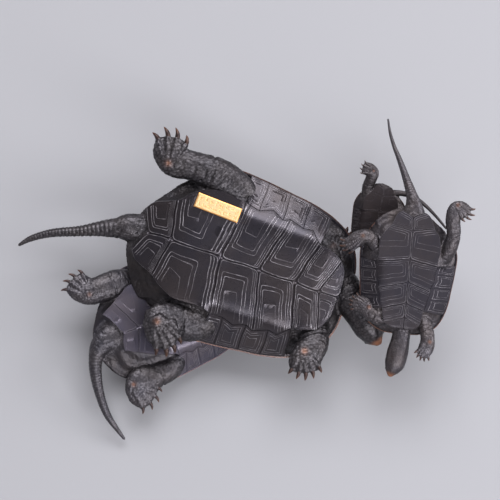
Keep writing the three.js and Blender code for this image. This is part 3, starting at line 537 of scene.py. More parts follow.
BELLY_POINTS = {
    "m0": (-62.6, 0), "m1": (-46.5, 0), "m2": (-14.3, 0), "m3": (10.4, 0), "m4": (33.2, 0),
    "m5": (49.6, 0), "m6": (62, 0), "a0": (-68.2, 13), "a1": (-64, 18.5), "s1": (-51.8, 24),
    "e1": (-44.5, 31), "e2": (-36, 34.8), "e3": (-26, 36.2), "e4": (-16, 35.6), "s2": (-10, 36.5),
    "z1": (-1, 34.5), "z2": (6.5, 37.5), "z3": (14, 34.3), "s3": (18.5, 36), "z4": (28, 32.8),
    "z5": (34, 34), "s4": (41, 27.5), "h1": (49, 25.3), "s5": (56.4, 22), "g1": (61.5, 12),
}
BELLY_CENTRE = 14
BRIDGE_SEAMS = {"r0": -13, "r1": -1, "r2": 14, "r3": 28, "r4": 43}

# Each belly plate lies between the midline and an edge, and its growth lines end at that edge. The
# focus is a share of the way along the edge, from the tail's end, and a distance in from it. Oblique
# says how much further from the midline a line is at its front end, on the right half and on the left.
BELLY_PLATES = (
    {"back": "m0", "front": "m1", "edge": ("a0", "a1", "s1"), "focus": (0.45, 5), "oblique": (0.2, 0.25)},
    {"back": "m1", "front": "m2", "edge": ("s1", "e1", "e2", "e3", "e4", "s2"), "focus": (0.22, 4.5),
     "oblique": (0, 0.3)},
    {"back": "m2", "front": "m3", "edge": ("s2", "z1", "z2", "z3", "s3"), "focus": (0.3, 3.5),
     "oblique": (-0.05, -0.12)},
    {"back": "m3", "front": "m4", "edge": ("s3", "z4", "z5", "s4"), "focus": (0.3, 3.5),
     "oblique": (0.1, -0.08)},
    {"back": "m4", "front": "m5", "edge": ("s4", "h1", "s5"), "focus": (0.35, 4), "oblique": (0, 0.2)},
    {"back": "m5", "front": "m6", "edge": ("s5", "g1"), "focus": (0.4, 4), "oblique": (0, 0)},
)
BRIDGE_PLATES = (
    {"corners": ("s2", "z1", "r1", "r0"), "focus": (-7, 47), "kind": "bridge_rings"},
    {"corners": ("z1", "z2", "z3", "r2", "r1"), "focus": (5, 46), "kind": "bridge_rings"},
    {"corners": ("z3", "s3", "z4", "r3", "r2"), "focus": (19, 45), "kind": "bridge_rings"},
    {"corners": ("z4", "z5", "s4", "r4", "r3"), "focus": (33, 42), "kind": "bridge_rings"},
)


def mirrored(points):
    """The points of both halves, and the same point for both where it lies on the midline."""
    both = dict(points)
    for name, (x, y) in points.items():
        both[name + "'"] = (x, -y)
    return both


def other_half(name, points):
    return name if abs(points[name][1]) < 1e-9 else name + "'"


def mirrored_plates(plates, points):
    """The plates of both halves, all of them anticlockwise."""
    both = []
    for plate in plates:
        corners = list(plate["corners"])
        xy = np.array([points[name] for name in corners], float)
        after = np.roll(xy, -1, axis=0)
        if np.sum(xy[:, 0] * after[:, 1] - after[:, 0] * xy[:, 1]) < 0:
            corners.reverse()
        both.append({**plate, "corners": corners})
        if not plate.get("middle"):
            flipped = [other_half(name, points) for name in reversed(corners)]
            both.append({**plate, "corners": flipped, "focus": (plate["focus"][0], -plate["focus"][1])})
    return both


def belly_points(turtle):
    """The points of a turtle's belly, whose rear lobe is shorter than the large turtle's or as long."""
    lobe = turtle["rear_lobe"]
    points = {name: (BELLY_CENTRE + (x - BELLY_CENTRE) * (lobe if x < BELLY_CENTRE else 1), y)
              for name, (x, y) in BELLY_POINTS.items()}
    points.update(turtle["belly_points"])
    for name, x in BRIDGE_SEAMS.items():
        points[name] = (x, float(rim_half_width(x)) - RIM_INSET)
    return points


def belly_net(turtle):
    """The belly's points, its open plates with their corners, and the closed plates of the bridges."""
    points = belly_points(turtle)
    plates = []
    for plate in BELLY_PLATES:
        corners = (plate["edge"][0], plate["back"], plate["front"], *reversed(plate["edge"][1:]))
        plates.append({**plate, "corners": corners, "focus": (0, 0)})
    both = mirrored({name: place for name, place in points.items() if not name.endswith("'")})
    both.update(points)
    return both, mirrored_plates([*plates, *BRIDGE_PLATES], points)


def rim_points(band, outer):
    """Points b0, b1, ... and r0, r1, ... on two rings, at the seams between the rim plates."""
    points = {}
    for i in range(MARGINALS + 1):
        angle = math.pi * i / MARGINALS
        points[f"b{i}"] = rim_point(angle, band)
        points[f"r{i}"] = rim_point(angle, outer)
    for name in ("b0", "r0", f"b{MARGINALS}", f"r{MARGINALS}"):
        points[name] = (points[name][0], 0.0)
    return points


def rim_plates(band, outer):
    plates = []
    for i in range(MARGINALS):
        focus = rim_point(math.pi * (i + 0.5) / MARGINALS, (2 * band + outer) / 3)
        corners = (f"b{i + 1}", f"r{i + 1}", f"r{i}", f"b{i}")
        plates.append({"corners": corners, "focus": focus, "kind": "rim_rings"})
    return plates


def dome_net():
    """The back: five plates along the ridge, four at each side of them, and the ring of rim plates."""
    points = {
        "v1": (33, 10), "v2": (9, 10.5), "v3": (-16, 10.5), "v4": (-40, 9.5), "c1": (46, 14),
        "c2": (21, 15.5), "c3": (-3.5, 16), "c4": (-28, 15), "c5": (-50, 13),
        **rim_points(MARGINAL_BAND, 1.0),
    }
    plates = [
        {"corners": ("v1", "c1", "b1", "b2", "b3", "b4", "c2"), "focus": (33, 30)},
        {"corners": ("v2", "c2", "b4", "b5", "b6", "c3"), "focus": (8, 33)},
        {"corners": ("v3", "c3", "b6", "b7", "b8", "c4"), "focus": (-18, 33)},
        {"corners": ("v4", "c4", "b8", "b9", "b10", "b11", "c5"), "focus": (-43, 26)},
        {"corners": ("c1'", "b1'", "b0", "b1", "c1", "v1", "v1'"), "focus": (46, 0), "middle": True},
        {"corners": ("v1'", "v1", "c2", "v2", "v2'", "c2'"), "focus": (21, 0), "middle": True},
        {"corners": ("v2'", "v2", "c3", "v3", "v3'", "c3'"), "focus": (-3.5, 0), "middle": True},
        {"corners": ("v3'", "v3", "c4", "v4", "v4'", "c4'"), "focus": (-28, 0), "middle": True},
        {"corners": ("v4'", "v4", "c5", "b11", "b12", "b11'", "c5'"), "focus": (-52, 0), "middle": True},
        *rim_plates(MARGINAL_BAND, 1.0),
    ]
    both = mirrored(points)
    return both, mirrored_plates(plates, both)


def underside_net():
    points = rim_points(UNDERSIDE_INNER, UNDERSIDE_OUTER)
    both = mirrored(points)
    return both, mirrored_plates(rim_plates(UNDERSIDE_INNER, UNDERSIDE_OUTER), both)


# Outlines

def sides_of(corners):
    return list(zip(corners, [*corners[1:], corners[0]]))


def outer_sides(plates):
    """The sides that belong to one plate only: each corner, and the one that follows it."""
    sides = dict.fromkeys(side for plate in plates for side in sides_of(plate["corners"]))
    return {a: b for a, b in sides if (b, a) not in sides}


def sharp_turns(knots):
    """Which corners of a closed outline turn too far to be rounded."""
    into = knots - np.roll(knots, 1, axis=0)
    out = np.roll(knots, -1, axis=0) - knots
    turn = np.arctan2(into[:, 0] * out[:, 1] - into[:, 1] * out[:, 0], np.sum(into * out, axis=1))
    return np.flatnonzero(np.abs(turn) > SHARP_TURN)


def rounded_loop(knots, parts):
    """Points along each side of a closed outline, on smooth curves between its sharp corners."""
    count = len(knots)
    sharp = sharp_turns(knots)
    if len(sharp) == 0:
        shares = np.arange(count * parts) / (count * parts)
        return spline(knots, shares, closed=True).reshape(count, parts, -1)
    sides = np.empty((count, parts, 2))
    for first, last in zip(sharp, np.append(sharp[1:], sharp[0] + count)):
        run = np.arange(first, last + 1) % count
        spans = len(run) - 1
        shares = np.arange(spans * parts) / (spans * parts)
        sides[run[:-1]] = spline(knots[run], shares).reshape(spans, parts, 2)
    return sides


def side_points(points, plates, step, on_rim=False):
    """The points along every side of a net, without its last one. Outer sides are rounded."""
    following = outer_sides(plates)
    runs = {}
    while following:
        loop = [next(iter(following))]
        while loop[-1] in following:
            loop.append(following.pop(loop[-1]))
        loop.pop()
        curve = rounded_loop(np.array([points[name] for name in loop], float), RIM_PARTS)
        if on_rim:
            share = rim_share(*points[loop[0]])
            curve *= (share / rim_share(curve[..., 0], curve[..., 1]))[..., None]
        for i, name in enumerate(loop):
            runs[(name, loop[(i + 1) % len(loop)])] = curve[i]
    for plate in plates:
        for a, b in sides_of(plate["corners"]):
            if (a, b) in runs or (b, a) in runs:
                continue
            start, end = np.array(points[a], float), np.array(points[b], float)
            count = max(1, round(np.linalg.norm(end - start) / step))
            runs[(a, b)] = start + np.outer(np.arange(count) / count, end - start)
    for (a, b), run in list(runs.items()):
        runs[(b, a)] = np.concatenate([[points[b]], run[:0:-1]])
    return runs


def hand_cut(xy):
    """Moves the points of a plate a little, so that no line is quite straight."""
    x, y = xy[:, 0], xy[:, 1]
    drift = np.column_stack([np.sin(0.19 * x + 0.11 * y + 1.3) + 0.5 * np.sin(0.43 * y - 0.21 * x),
                             np.sin(0.23 * x - 0.17 * y + 0.4) + 0.5 * np.sin(0.37 * x + 0.29 * y + 2.0)])
    fade = 1 - smoothstep(rim_share(x, y), 0.9, 0.97)
    return xy + WOBBLE * drift * fade[:, None]


# Surfaces

class Surface:
    """Points, faces and rubbed shares of a mesh while it is being made."""

    def __init__(self):
        self.points = []
        self.polish = []
        self.faces = []
        self.count = 0

    def add(self, points, polish=0.0):
        points = np.atleast_2d(points)
        self.points.append(points)
        self.polish.append(np.broadcast_to(np.asarray(polish, float), len(points)))
        first = self.count
        self.count += len(points)
        return np.arange(first, self.count)

    def bands(self, rings, flip=False):
        """Closes each ring of point numbers to the next one with quads."""
        for outer, inner in zip(rings[:-1], rings[1:]):
            quads = np.column_stack([outer, np.roll(outer, -1), np.roll(inner, -1), inner])
            self.faces.extend((quads[:, ::-1] if flip else quads).tolist())

    def fan(self, ring, tip, flip=False):
        triangles = np.column_stack([ring, np.roll(ring, -1), np.full(len(ring), tip)])
        self.faces.extend((triangles[:, ::-1] if flip else triangles).tolist())

    def mesh(self, name):
        mesh = bpy.data.meshes.new(name)
        mesh.from_pydata(np.concatenate(self.points).tolist(), [], self.faces)
        attribute = mesh.attributes.new("polish", "FLOAT", "POINT")
        attribute.data.foreach_set("value", np.concatenate(self.polish).astype(np.float32))
        return mesh


def ring_stack(reach, lines, habit, carving):
    """Distances from the sides, relief and grey share of every ring of a plate, from its seam inwards. The
    grey on the raised lines is partly wear and partly painted highlight.
    """
    half, height = carving.line_width / MM, carving.line_height / MM
    swell = carving.swell / MM
    none = np.zeros(len(reach))
    seam = np.minimum(carving.seam_width / MM, SEAM_LIMIT * reach)
    rings = [(none, none - carving.seam_depth / MM, none), (seam, none, none)]
    for distances, strength in lines:
        lift = swell * smoothstep(np.max(distances / reach), 0, 0.7)
        for aside, share in LINE_PROFILE:
            band = distances + aside * np.minimum(half, LINE_LIMIT * reach)
            rings.append((band, lift + share * height * strength, share * strength))
    rings.append((reach * PLATE_TOP, none + swell, none))
    full = [rings[0]]
    for distances, relief, rub_and_highlight in rings[1:]:
        last, last_relief, last_rub_and_highlight = full[-1]
        distances = np.minimum(np.maximum(distances, last + RING_GAP * reach), reach * LAST_RING)
        parts = int(np.ceil(np.max(distances - last) / habit["ring_step"]))
        for k in range(1, parts + 1):
            share = k / parts
            full.append((last + (distances - last) * share, last_relief + (relief - last_relief) * share,
                         last_rub_and_highlight + (rub_and_highlight - last_rub_and_highlight) * share))
    return full


def closed_plate(plate, runs, habit, carving):
    """Rings that shrink evenly towards the focus of a plate: their points, relief and grey share, which is
    partly wear and partly painted highlight.
    """
    outline = np.concatenate([runs[side] for side in sides_of(plate["corners"])])
    focus = np.array(plate["focus"], float)
    reach = np.array([np.mean(np.linalg.norm(outline - focus, axis=1))])
    lines = [(reach * share, np.full(1, strength)) for share, strength in habit[plate.get("kind", "rings")]]
    rings = []
    for distances, relief, rub_and_highlight in ring_stack(reach, lines, habit, carving):
        rings.append((outline + (focus - outline) * (distances[0] / reach[0]), relief[0], rub_and_highlight[0]))
    return focus, rings


def cross(a, b):
    return a[..., 0] * b[..., 1] - a[..., 1] * b[..., 0]


def open_lines(reach, habit):
    """Growth lines of a belly plate, each as distances from its back, middle, front and edge."""
    back, middle, front, edge = reach
    for k, strength in enumerate(habit["beside_seams"]):
        at = np.array([min(0.95, 0.2 * back) * (1 + 0.2 * k), min(0.75, 0.2 * middle) * (1 + 0.2 * k),
                       min(1.35, 0.1 * front) * (k + 0.75), 0.02 * edge * (k + 1)])
        yield at, strength * np.array([k == 0, k == 0, 1, 0], float)
    for at_back, at_middle, at_front, strength in habit["rings"]:
        at = np.array([at_back * back, at_middle * middle, at_front * front, at_middle * edge])
        yield at, strength * np.array([1.0, 1.0, 1.0, 0.0])


def left_half(points, runs):
    """The points and sides of the left half, turned over onto the right one."""
    over = np.array([1, -1])
    points = {name: np.array(points[other_half(name, points)]) * over
              for name in points if not name.endswith("'")}
    return points, {(a, b): runs[(other_half(a, points), other_half(b, points))] * over
                    for a, b in runs if a in points and b in points}


def open_plate(plate, oblique, points, runs, habit, carving):
    """Rings of a belly plate on the right half, whose lines run out at its edge."""
    names = plate["edge"]
    edge = np.concatenate([*(runs[side] for side in zip(names, names[1:])), [points[names[-1]]]])
    back_middle, front_middle = np.array(points[plate["back"]]), np.array(points[plate["front"]])
    back_seam, front_seam = runs[(names[0], plate["back"])], runs[(plate["front"], names[-1])]
    middle_seam = runs[(plate["back"], plate["front"])]
    along_back = (back_middle - edge[0]) / np.linalg.norm(back_middle - edge[0])
    along_front = (front_middle - edge[-1]) / np.linalg.norm(front_middle - edge[-1])
    run = np.concatenate([[0], np.cumsum(np.linalg.norm(np.diff(edge, axis=0), axis=1))])
    from_back = np.maximum.accumulate(np.abs(cross(along_back, edge - edge[0]))) + 1e-6 * run
    from_front = np.maximum.accumulate(np.abs(cross(along_front, edge - edge[-1]))[::-1]) + 1e-6 * run
    trend = np.gradient(edge, axis=0)
    trend = sum(np.roll(trend, k, axis=0) for k in (-2, -1, 0, 1, 2)) if len(edge) > 9 else trend
    trend[:3], trend[-3:] = trend[3], trend[-4]
    normal = np.column_stack([trend[:, 1], -trend[:, 0]]) / np.linalg.norm(trend, axis=1, keepdims=True)

    def on_edge(at, inset):
        place = np.column_stack([np.interp(at, run, edge[:, i]) for i in (0, 1)])
        return place + inset * np.column_stack([np.interp(at, run, normal[:, i]) for i in (0, 1)])

    share, inset = plate["focus"]
    centre = share * run[-1]
    focus = on_edge([centre], inset)[0]
    reach = np.array([np.interp(centre, run, from_back), focus[1],
                      np.interp(run[-1] - centre, run, from_front), inset])
    counts = [len(back_seam), len(middle_seam), len(front_seam), len(edge) - 1]
    back_share, middle_share, front_share = (np.arange(count) / count for count in counts[:3])
    side = np.repeat([0, 1, 2, 3], counts)
    starts = np.cumsum([0, *counts[:-1]])
    rings = []
    stack = ring_stack(reach, open_lines(reach, habit), habit, carving)
    for number, (distances, relief, rub_and_highlight) in enumerate(stack):
        first = np.interp(distances[0], from_back, run)
        last = run[-1] - np.interp(distances[2], from_front, run)
        chain = on_edge(first + run / run[-1] * (last - first), distances[3])
        corner, far_corner = chain[0], chain[-1]
        back = corner + along_back * ((distances[1] - corner[1]) / along_back[1])
        part = distances[1] / reach[1]
        in_front = distances[1] * (1 + 4 * oblique * part * (1 - part))
        front = far_corner + along_front * ((in_front - far_corner[1]) / along_front[1])
        if number == 0:
            ring = np.concatenate([back_seam, middle_seam, front_seam, edge[:0:-1]])
        else:
            ring = np.concatenate([
                corner + np.outer(back_share, back - corner), back + np.outer(middle_share, front - back),
                front + np.outer(front_share, far_corner - front), chain[:0:-1]])
            stop = starts[3]
            for _ in range(CORNER_SOFTNESS):
                ring[1:stop] = (ring[:stop - 1] + 2 * ring[1:stop] + ring[2:stop + 1]) / 4
        values = np.column_stack([relief[side], rub_and_highlight[side]])
        if number == 1:
            values[side == 3, 1] = EDGE_RUB_AND_HIGHLIGHT
        values[starts] = (values[starts] + values[starts - 1]) / 2
        rings.append((ring, values[:, 0], values[:, 1]))
    return focus, rings


def uneven(x, y):
    """How strongly a growth line was cut at a place, from 0.35 to 1."""
    drift = (np.sin(0.31 * x - 0.23 * y + 0.7) + np.sin(0.17 * x + 0.41 * y + 2.1)
             + 0.7 * np.sin(0.83 * x + 0.59 * y))
    return 0.35 + 0.65 * smoothstep(drift, -1.6, 1.0)


def beside_plaque(x, y):
    """0 under the gold plaque, and 1 away from it."""
    dx, dy = x - PLAQUE_AT[0], y - PLAQUE_AT[1]
    along = np.abs(dx * math.cos(PLAQUE_TURN) + dy * math.sin(PLAQUE_TURN)) - PLAQUE_SIZE[0] / 2
    across = dy * math.cos(PLAQUE_TURN) - dx * math.sin(PLAQUE_TURN)
    across = np.where(across > 0, -1.0, -across - PLAQUE_SIZE[1] / 2)
    return smoothstep(np.maximum(along, across), 0.2, 1.6)


def lay(surface, focus, rings, height, out, carving, mirror=False, inlay=False):
    """Puts the rings of a plate on a surface. out is +1 where it faces +Z and -1 where it faces -Z."""
    way = np.array([1, -1 if mirror else 1])
    swell, line = carving.swell / MM, carving.line_height / MM
    rows = []
    for ring, relief, rub_and_highlight in rings:
        xy = hand_cut(ring * way)
        faint = rub_and_highlight * (1 - uneven(*xy.T))
        relief, rub_and_highlight = relief - line * faint, rub_and_highlight - faint
        if inlay:
            relief, rub_and_highlight = relief * beside_plaque(*xy.T), rub_and_highlight * beside_plaque(*xy.T)
        # The grey share of the raised lines, partly wear and partly painted highlight, goes into the polish
        # attribute.
        rows.append(surface.add(np.column_stack([xy, height(*xy.T) + out * relief]), rub_and_highlight))
    xy = hand_cut(np.array([focus * way]))
    if inlay:
        swell = swell * beside_plaque(*xy.T)
    tip = surface.add(np.column_stack([xy, height(*xy.T) + out * swell]))[0]
    flip = (out < 0) != mirror
    surface.bands(rows, flip=flip)
    surface.fan(rows[-1], tip, flip=flip)


def plated(surface, net, height, out, habit, carving):
    """Lays every plate of a net on a surface."""
    points, plates = net
    is_belly = "m0" in points
    runs = side_points(points, plates, habit["step"], on_rim=not is_belly)
    for plate in plates:
        if "edge" not in plate:
            focus, rings = closed_plate(plate, runs, habit, carving)
            lay(surface, focus, rings, height, out, carving)
    for plate in BELLY_PLATES if is_belly else ():
        right, left = plate["oblique"]
        focus, rings = open_plate(plate, right, points, runs, habit, carving)
        lay(surface, focus, rings, height, out, carving, inlay=habit.get("inlay", False))
        focus, rings = open_plate(plate, left, *left_half(points, runs), habit, carving)
        lay(surface, focus, rings, height, out, carving, mirror=True)


def open_edges(bm):
    return [edge for edge in bm.edges if edge.is_boundary]


def carried_on(bm, edges, place):
    """Extrudes an open border, sets the new points with place, and returns the new border."""
    grown = bmesh.ops.extrude_edge_only(bm, edges=edges)["geom"]
    for element in grown:
        if isinstance(element, bmesh.types.BMVert):
            element.co = place(element.co)
    return [e for e in grown if isinstance(e, bmesh.types.BMEdge) and e.is_boundary]


def welded(surface, name):
    """The surface as a bmesh, with the points that its plates share made one."""
    mesh = surface.mesh(name)
    bm = bmesh.new()
    bm.from_mesh(mesh)
    bpy.data.meshes.remove(mesh)
    bmesh.ops.remove_doubles(bm, verts=bm.verts, dist=WELD)
    return bm


def belly_shell(turtle, carving):
    surface = Surface()
    plated(surface, belly_net(turtle), belly_height, 1, turtle["belly"], carving)
    bm = welded(surface, "belly")
    border = open_edges(bm)
    for share, lower in BELLY_STEPS:
        border = carried_on(bm, border, lambda co: Vector((co.x * share, co.y * share, co.z - lower)))
    length, width, height = BELLY_ROOT
    border = carried_on(bm, border, lambda co: Vector((co.x * length, co.y * width, height)))
    bmesh.ops.contextual_create(bm, geom=border)
    return bm


def back_shell(turtle, carving):
    surface = Surface()
    plated(surface, dome_net(), dome_height(turtle["depth"]), -1, BACK_RINGS, carving)
    dome = welded(surface, "dome")
    rim = [vert.co.copy() for vert in {e.verts[k] for e in open_edges(dome) for k in (0, 1)}]
    tree = tree_of([Vector((*co.xy, 0)) for co in rim])
    under = Surface()
    plated(under, underside_net(), underside_height, 1, BACK_RINGS, carving)
    bm = welded(under, "underside")
    border = open_edges(bm)
    inner = [e for e in border if rim_share(*e.verts[0].co.xy) < 0.9]
    outer = [e for e in border if rim_share(*e.verts[0].co.xy) >= 0.9]

    def on_the_rim(co):
        return rim[tree.find(Vector((co.x, co.y, 0)) / UNDERSIDE_OUTER)[1]]

    carried_on(bm, outer, on_the_rim)
    bmesh.ops.contextual_create(bm, geom=inner)
    mesh = mesh_of(dome, "dome")
    bm.from_mesh(mesh)
    bpy.data.meshes.remove(mesh)
    bmesh.ops.remove_doubles(bm, verts=bm.verts, dist=WELD)
    return bm


# Flesh

def frames(path, facing, count, start=0.0, end=1.0):
    """Centre, direction, side, front and half sizes at places along a limb."""
    path = np.asarray(path, float)
    shares = np.linspace(start, end, count)
    centre = spline(path[:, :3], shares)
    along = (spline(path[:, :3], np.minimum(shares + 1e-4, 1))
             - spline(path[:, :3], np.maximum(shares - 1e-4, 0)))
    along /= np.linalg.norm(along, axis=1, keepdims=True)
    side = np.cross(np.asarray(facing, float), along)
    side /= np.linalg.norm(side, axis=1, keepdims=True)
    return centre, along, side, np.cross(along, side), spline(path[:, 3:], shares)


def tube(surface, path, facing=OUTWARD, rings=28, sides=20, blunt=0.5, end=1.0):
    """A closed tube of oval section with a rounded end."""
    centre, along, side, front, size = frames(path, facing, rings, end=end)
    turns = np.linspace(0, 2 * math.pi, sides, endpoint=False)
    rows = []
    for k in range(rings):
        ring = (centre[k] + np.outer(np.cos(turns) * size[k, 0], side[k])
                + np.outer(np.sin(turns) * size[k, 1], front[k]))
        rows.append(surface.add(ring))
    for share in (0.5, 0.8):
        narrow = math.sqrt(1 - share ** 2)
        ring = (centre[-1] + along[-1] * size[-1, 0] * blunt * share
                + np.outer(np.cos(turns) * size[-1, 0] * narrow, side[-1])
                + np.outer(np.sin(turns) * size[-1, 1] * narrow, front[-1]))
        rows.append(surface.add(ring))
    surface.bands(rows)
    surface.fan(rows[0][::-1], surface.add([centre[0]])[0])
    surface.fan(rows[-1], surface.add([centre[-1] + along[-1] * size[-1, 0] * blunt])[0])


def toe_rays(path, toes):
    """Root, knuckle, direction and claw length of each toe of a foot."""
    path = np.asarray(path, float)
    tip, heel = path[-1, :3], path[-2, :3]
    along = (tip - heel) / np.linalg.norm(tip - heel)
    side = np.cross(OUTWARD, along)
    side /= np.linalg.norm(side)
    look = np.cross(along, side)
    width, thick = path[-1, 3], path[-1, 4]
    for share in np.linspace(-1, 1, toes["count"]):
        turn = math.radians(toes["spread"] / 2) * share
        direction = along * math.cos(turn) + side * math.sin(turn)
        ahead = TOE_REACH - TOE_CURVE * share ** 2
        knuckle = tip + side * width * TOE_FAN * share + along * ahead + look * thick * 0.45
        root = heel + (heel - tip) * 0.5 + side * path[-2, 3] * 0.4 * share + look * path[-2, 4] * 0.8
        yield root, knuckle, direction, look, toes["length"] * (1 - 0.14 * share ** 2)


def foot(surface, path, toes):
    """Toes that stand out of the paddle of the foot, with a knob at each end, and a pad at the heel."""
    thick = toes["radius"]
    for root, knuckle, direction, look, _ in toe_rays(path, toes):
        middle = root * 0.45 + knuckle * 0.55 + look * path[-1][4] * 0.2
        end = knuckle + direction * 1.6
        route = [(*place, thick * wide, thick * deep)
                 for place, (wide, deep) in zip((root, middle, knuckle, end), TOE_SHAPE)]
        tube(surface, route, rings=12, sides=12)
    tip, heel = np.array(path[-1][:3]), np.array(path[-2][:3])
    along = (tip - heel) / np.linalg.norm(tip - heel)
    wide, deep = path[-2][3], path[-2][4]
    pad = heel + np.array(OUTWARD) * deep * 0.45
    route = [(*(pad - along * wide * back), wide * half, deep * thick) for back, half, thick in HEEL_PAD]
    tube(surface, route, rings=12, sides=16)


def claw_set(surface, path, toes):
    """Curved pointed claws, which stand out of the toes."""
    for _, knuckle, direction, look, length in toe_rays(path, toes):
        hook = np.cross(look, direction) * toes["hook"] * math.copysign(1, path[-1][1])
        start = knuckle + direction * 0.8
        route = []
        for s, share in CLAW_TAPER:
            bend = direction * s + look * (0.3 * s - 0.46 * s ** 2) + hook * s ** 2
            route.append((*(start + length * bend), toes["radius"] * share, toes["radius"] * share))
        tube(surface, route, rings=CLAW_RINGS, sides=CLAW_SIDES, blunt=0.6)


def flesh_core(surface, turtle):
    """The body between belly and back, which shows in the openings of the shell."""
    turns = np.linspace(-math.pi, math.pi, FLESH_SIDES, endpoint=False)
    points, plates = belly_net(turtle)
    runs = side_points(points, plates, 2.0)
    edge = np.concatenate([runs[side] for side in outer_sides(plates).items()])
    order = np.argsort(np.arctan2(edge[:, 1], edge[:, 0]))
    angles, radii = np.arctan2(edge[order, 1], edge[order, 0]), np.hypot(*edge[order].T)
    belly = np.interp(turns, angles, radii, period=2 * math.pi)
    rim = rim_radius(turns)
    swollen = 1 + TAIL_SWELL * smoothstep(np.abs(turns), TAIL_SWELL_FROM, TAIL_SWELL_FROM + 0.3)
    rows = []
    for z, wide, narrow, mix in FLESH_LEVELS:
        radius = rim * np.where(z > 0, swollen, 1) * wide * (1 - mix) + belly * narrow * mix
        x, y = radius * np.cos(turns), radius * np.sin(turns)
        top = belly_height(x, y) - FLESH_UNDER_BELLY
        rows.append(surface.add(np.column_stack([x, y, np.minimum(z, top)])))
    surface.bands(rows)
    surface.fan(rows[0][::-1], surface.add([(0, 0, FLESH_LEVELS[0][0])])[0])
    surface.fan(rows[-1], surface.add([(0, 0, FLESH_LEVELS[-1][0])])[0])


def fused(surface, name, cell):
    """One smooth skin round all the closed tubes of a surface."""
    source = bpy.data.objects.new(name, surface.mesh(name))
    bpy.context.scene.collection.objects.link(source)
    remesh = source.modifiers.new("Fuse", "REMESH")
    remesh.mode = "VOXEL"
    remesh.voxel_size = cell
    settle = source.modifiers.new("Settle", "SMOOTH")
    settle.factor = 0.5
    settle.iterations = 5
    mesh = bpy.data.meshes.new_from_object(source.evaluated_get(bpy.context.evaluated_depsgraph_get()))
    old = source.data
    bpy.data.objects.remove(source)
    bpy.data.meshes.remove(old)
    bm = bmesh.new()
    bm.from_mesh(mesh)
    hidden = [vert for vert in bm.verts if math.hypot(vert.co.x, vert.co.y) < HIDDEN_RADIUS]
    bmesh.ops.delete(bm, geom=hidden, context="VERTS")
    bmesh.ops.holes_fill(bm, edges=open_edges(bm), sides=0)
    bm.to_mesh(mesh)
    bm.free()
    return mesh


def tree_of(points):
    tree = kdtree.KDTree(len(points))
    for i, point in enumerate(points):
        tree.insert(point, i)
    tree.balance()
    return tree


def scale_seeds(points, size, rng):
    """Well spaced centres of scales, about so far apart."""
    tree = tree_of(points)
    order = rng.permutation(len(points))
    covered = np.zeros(len(points), bool)
    seeds = []
    for i in order:
        if covered[i]:
            continue
        seeds.append(i)
        for _, j, _ in tree.find_range(points[i], float(size[i])):
            covered[j] = True
    return np.array(seeds)


def mesh_points(mesh):
    points = np.empty(len(mesh.vertices) * 3, np.float32)
    mesh.vertices.foreach_get("co", points)
    normals = np.empty(len(mesh.vertices) * 3, np.float32)
    mesh.vertex_normals.foreach_get("vector", normals)
    return points.reshape(-1, 3).astype(float), normals.reshape(-1, 3).astype(float)


def nearest_two(points, seeds):
    """How far each point is from the nearest two of the points that are seeds."""
    tree = tree_of(points[seeds])
    return np.array([[distance for _, _, distance in tree.find_n(p, 2)] for p in points]).T


def run_along(centre):
    return np.concatenate([[0], np.cumsum(np.linalg.norm(np.diff(centre, axis=0), axis=1))])


def places_on_limbs(points, limbs):
    """For each point: its limb, the length and share of the way along it, its turn and height there."""
    samples, lengths, sides = [], [], []
    for path in limbs:
        centre, _, side, front, _ = frames(path, OUTWARD, ROUTE_SAMPLES)
        run = run_along(centre)
        samples.append(centre)
        lengths.append(np.column_stack([run, run / run[-1]]))
        sides.append(np.stack([side, front], axis=1))
    samples, lengths, sides = (np.concatenate(parts) for parts in (samples, lengths, sides))
    tree = tree_of(samples)
    found = np.array([tree.find(p)[1] for p in points])
    run, share = lengths[found].T
    offset = points - samples[found]
    across = np.sum(offset * sides[found, 0], axis=1)
    up = np.sum(offset * sides[found, 1], axis=1)
    return found // ROUTE_SAMPLES, run, share, np.arctan2(up, across), up, np.linalg.norm(offset, axis=1)


def loose_rolls(points, on_body):
    """Rolls of loose skin in the openings of the shell, along the edge of the belly."""
    x, y, z = points.T
    around = np.arctan2(y, x)
    roll = np.cos(rim_share(x, y) * ROLLS + 2.4 * np.sin(3 * around + 0.6) + 1.3 * np.sin(8 * around))
    loose = smoothstep(np.sin(2.7 * around + 1.3) + 0.6 * np.sin(11 * around), -0.9, 1.0)
    inside = smoothstep(z, -1, 2) * (1 - smoothstep(z, 8, 11))
    return ROLL_HEIGHT * on_body * roll * loose * inside


def worn_spots(points, turtle):
    """Bare bronze at the heels."""
    worn = np.zeros(len(points))
    for path, _ in turtle["limbs"]:
        tip, heel = np.array(path[-1][:3]), np.array(path[-2][:3])
        along = (heel - tip) / np.linalg.norm(heel - tip)
        spot = heel + along * path[-2][3] * 0.7 + np.array(OUTWARD) * path[-2][4]
        near = np.exp(-(np.linalg.norm(points - spot, axis=1) / HEEL_SPOT) ** 2)
        worn = np.maximum(worn, HEEL_WEAR * near)
    return worn


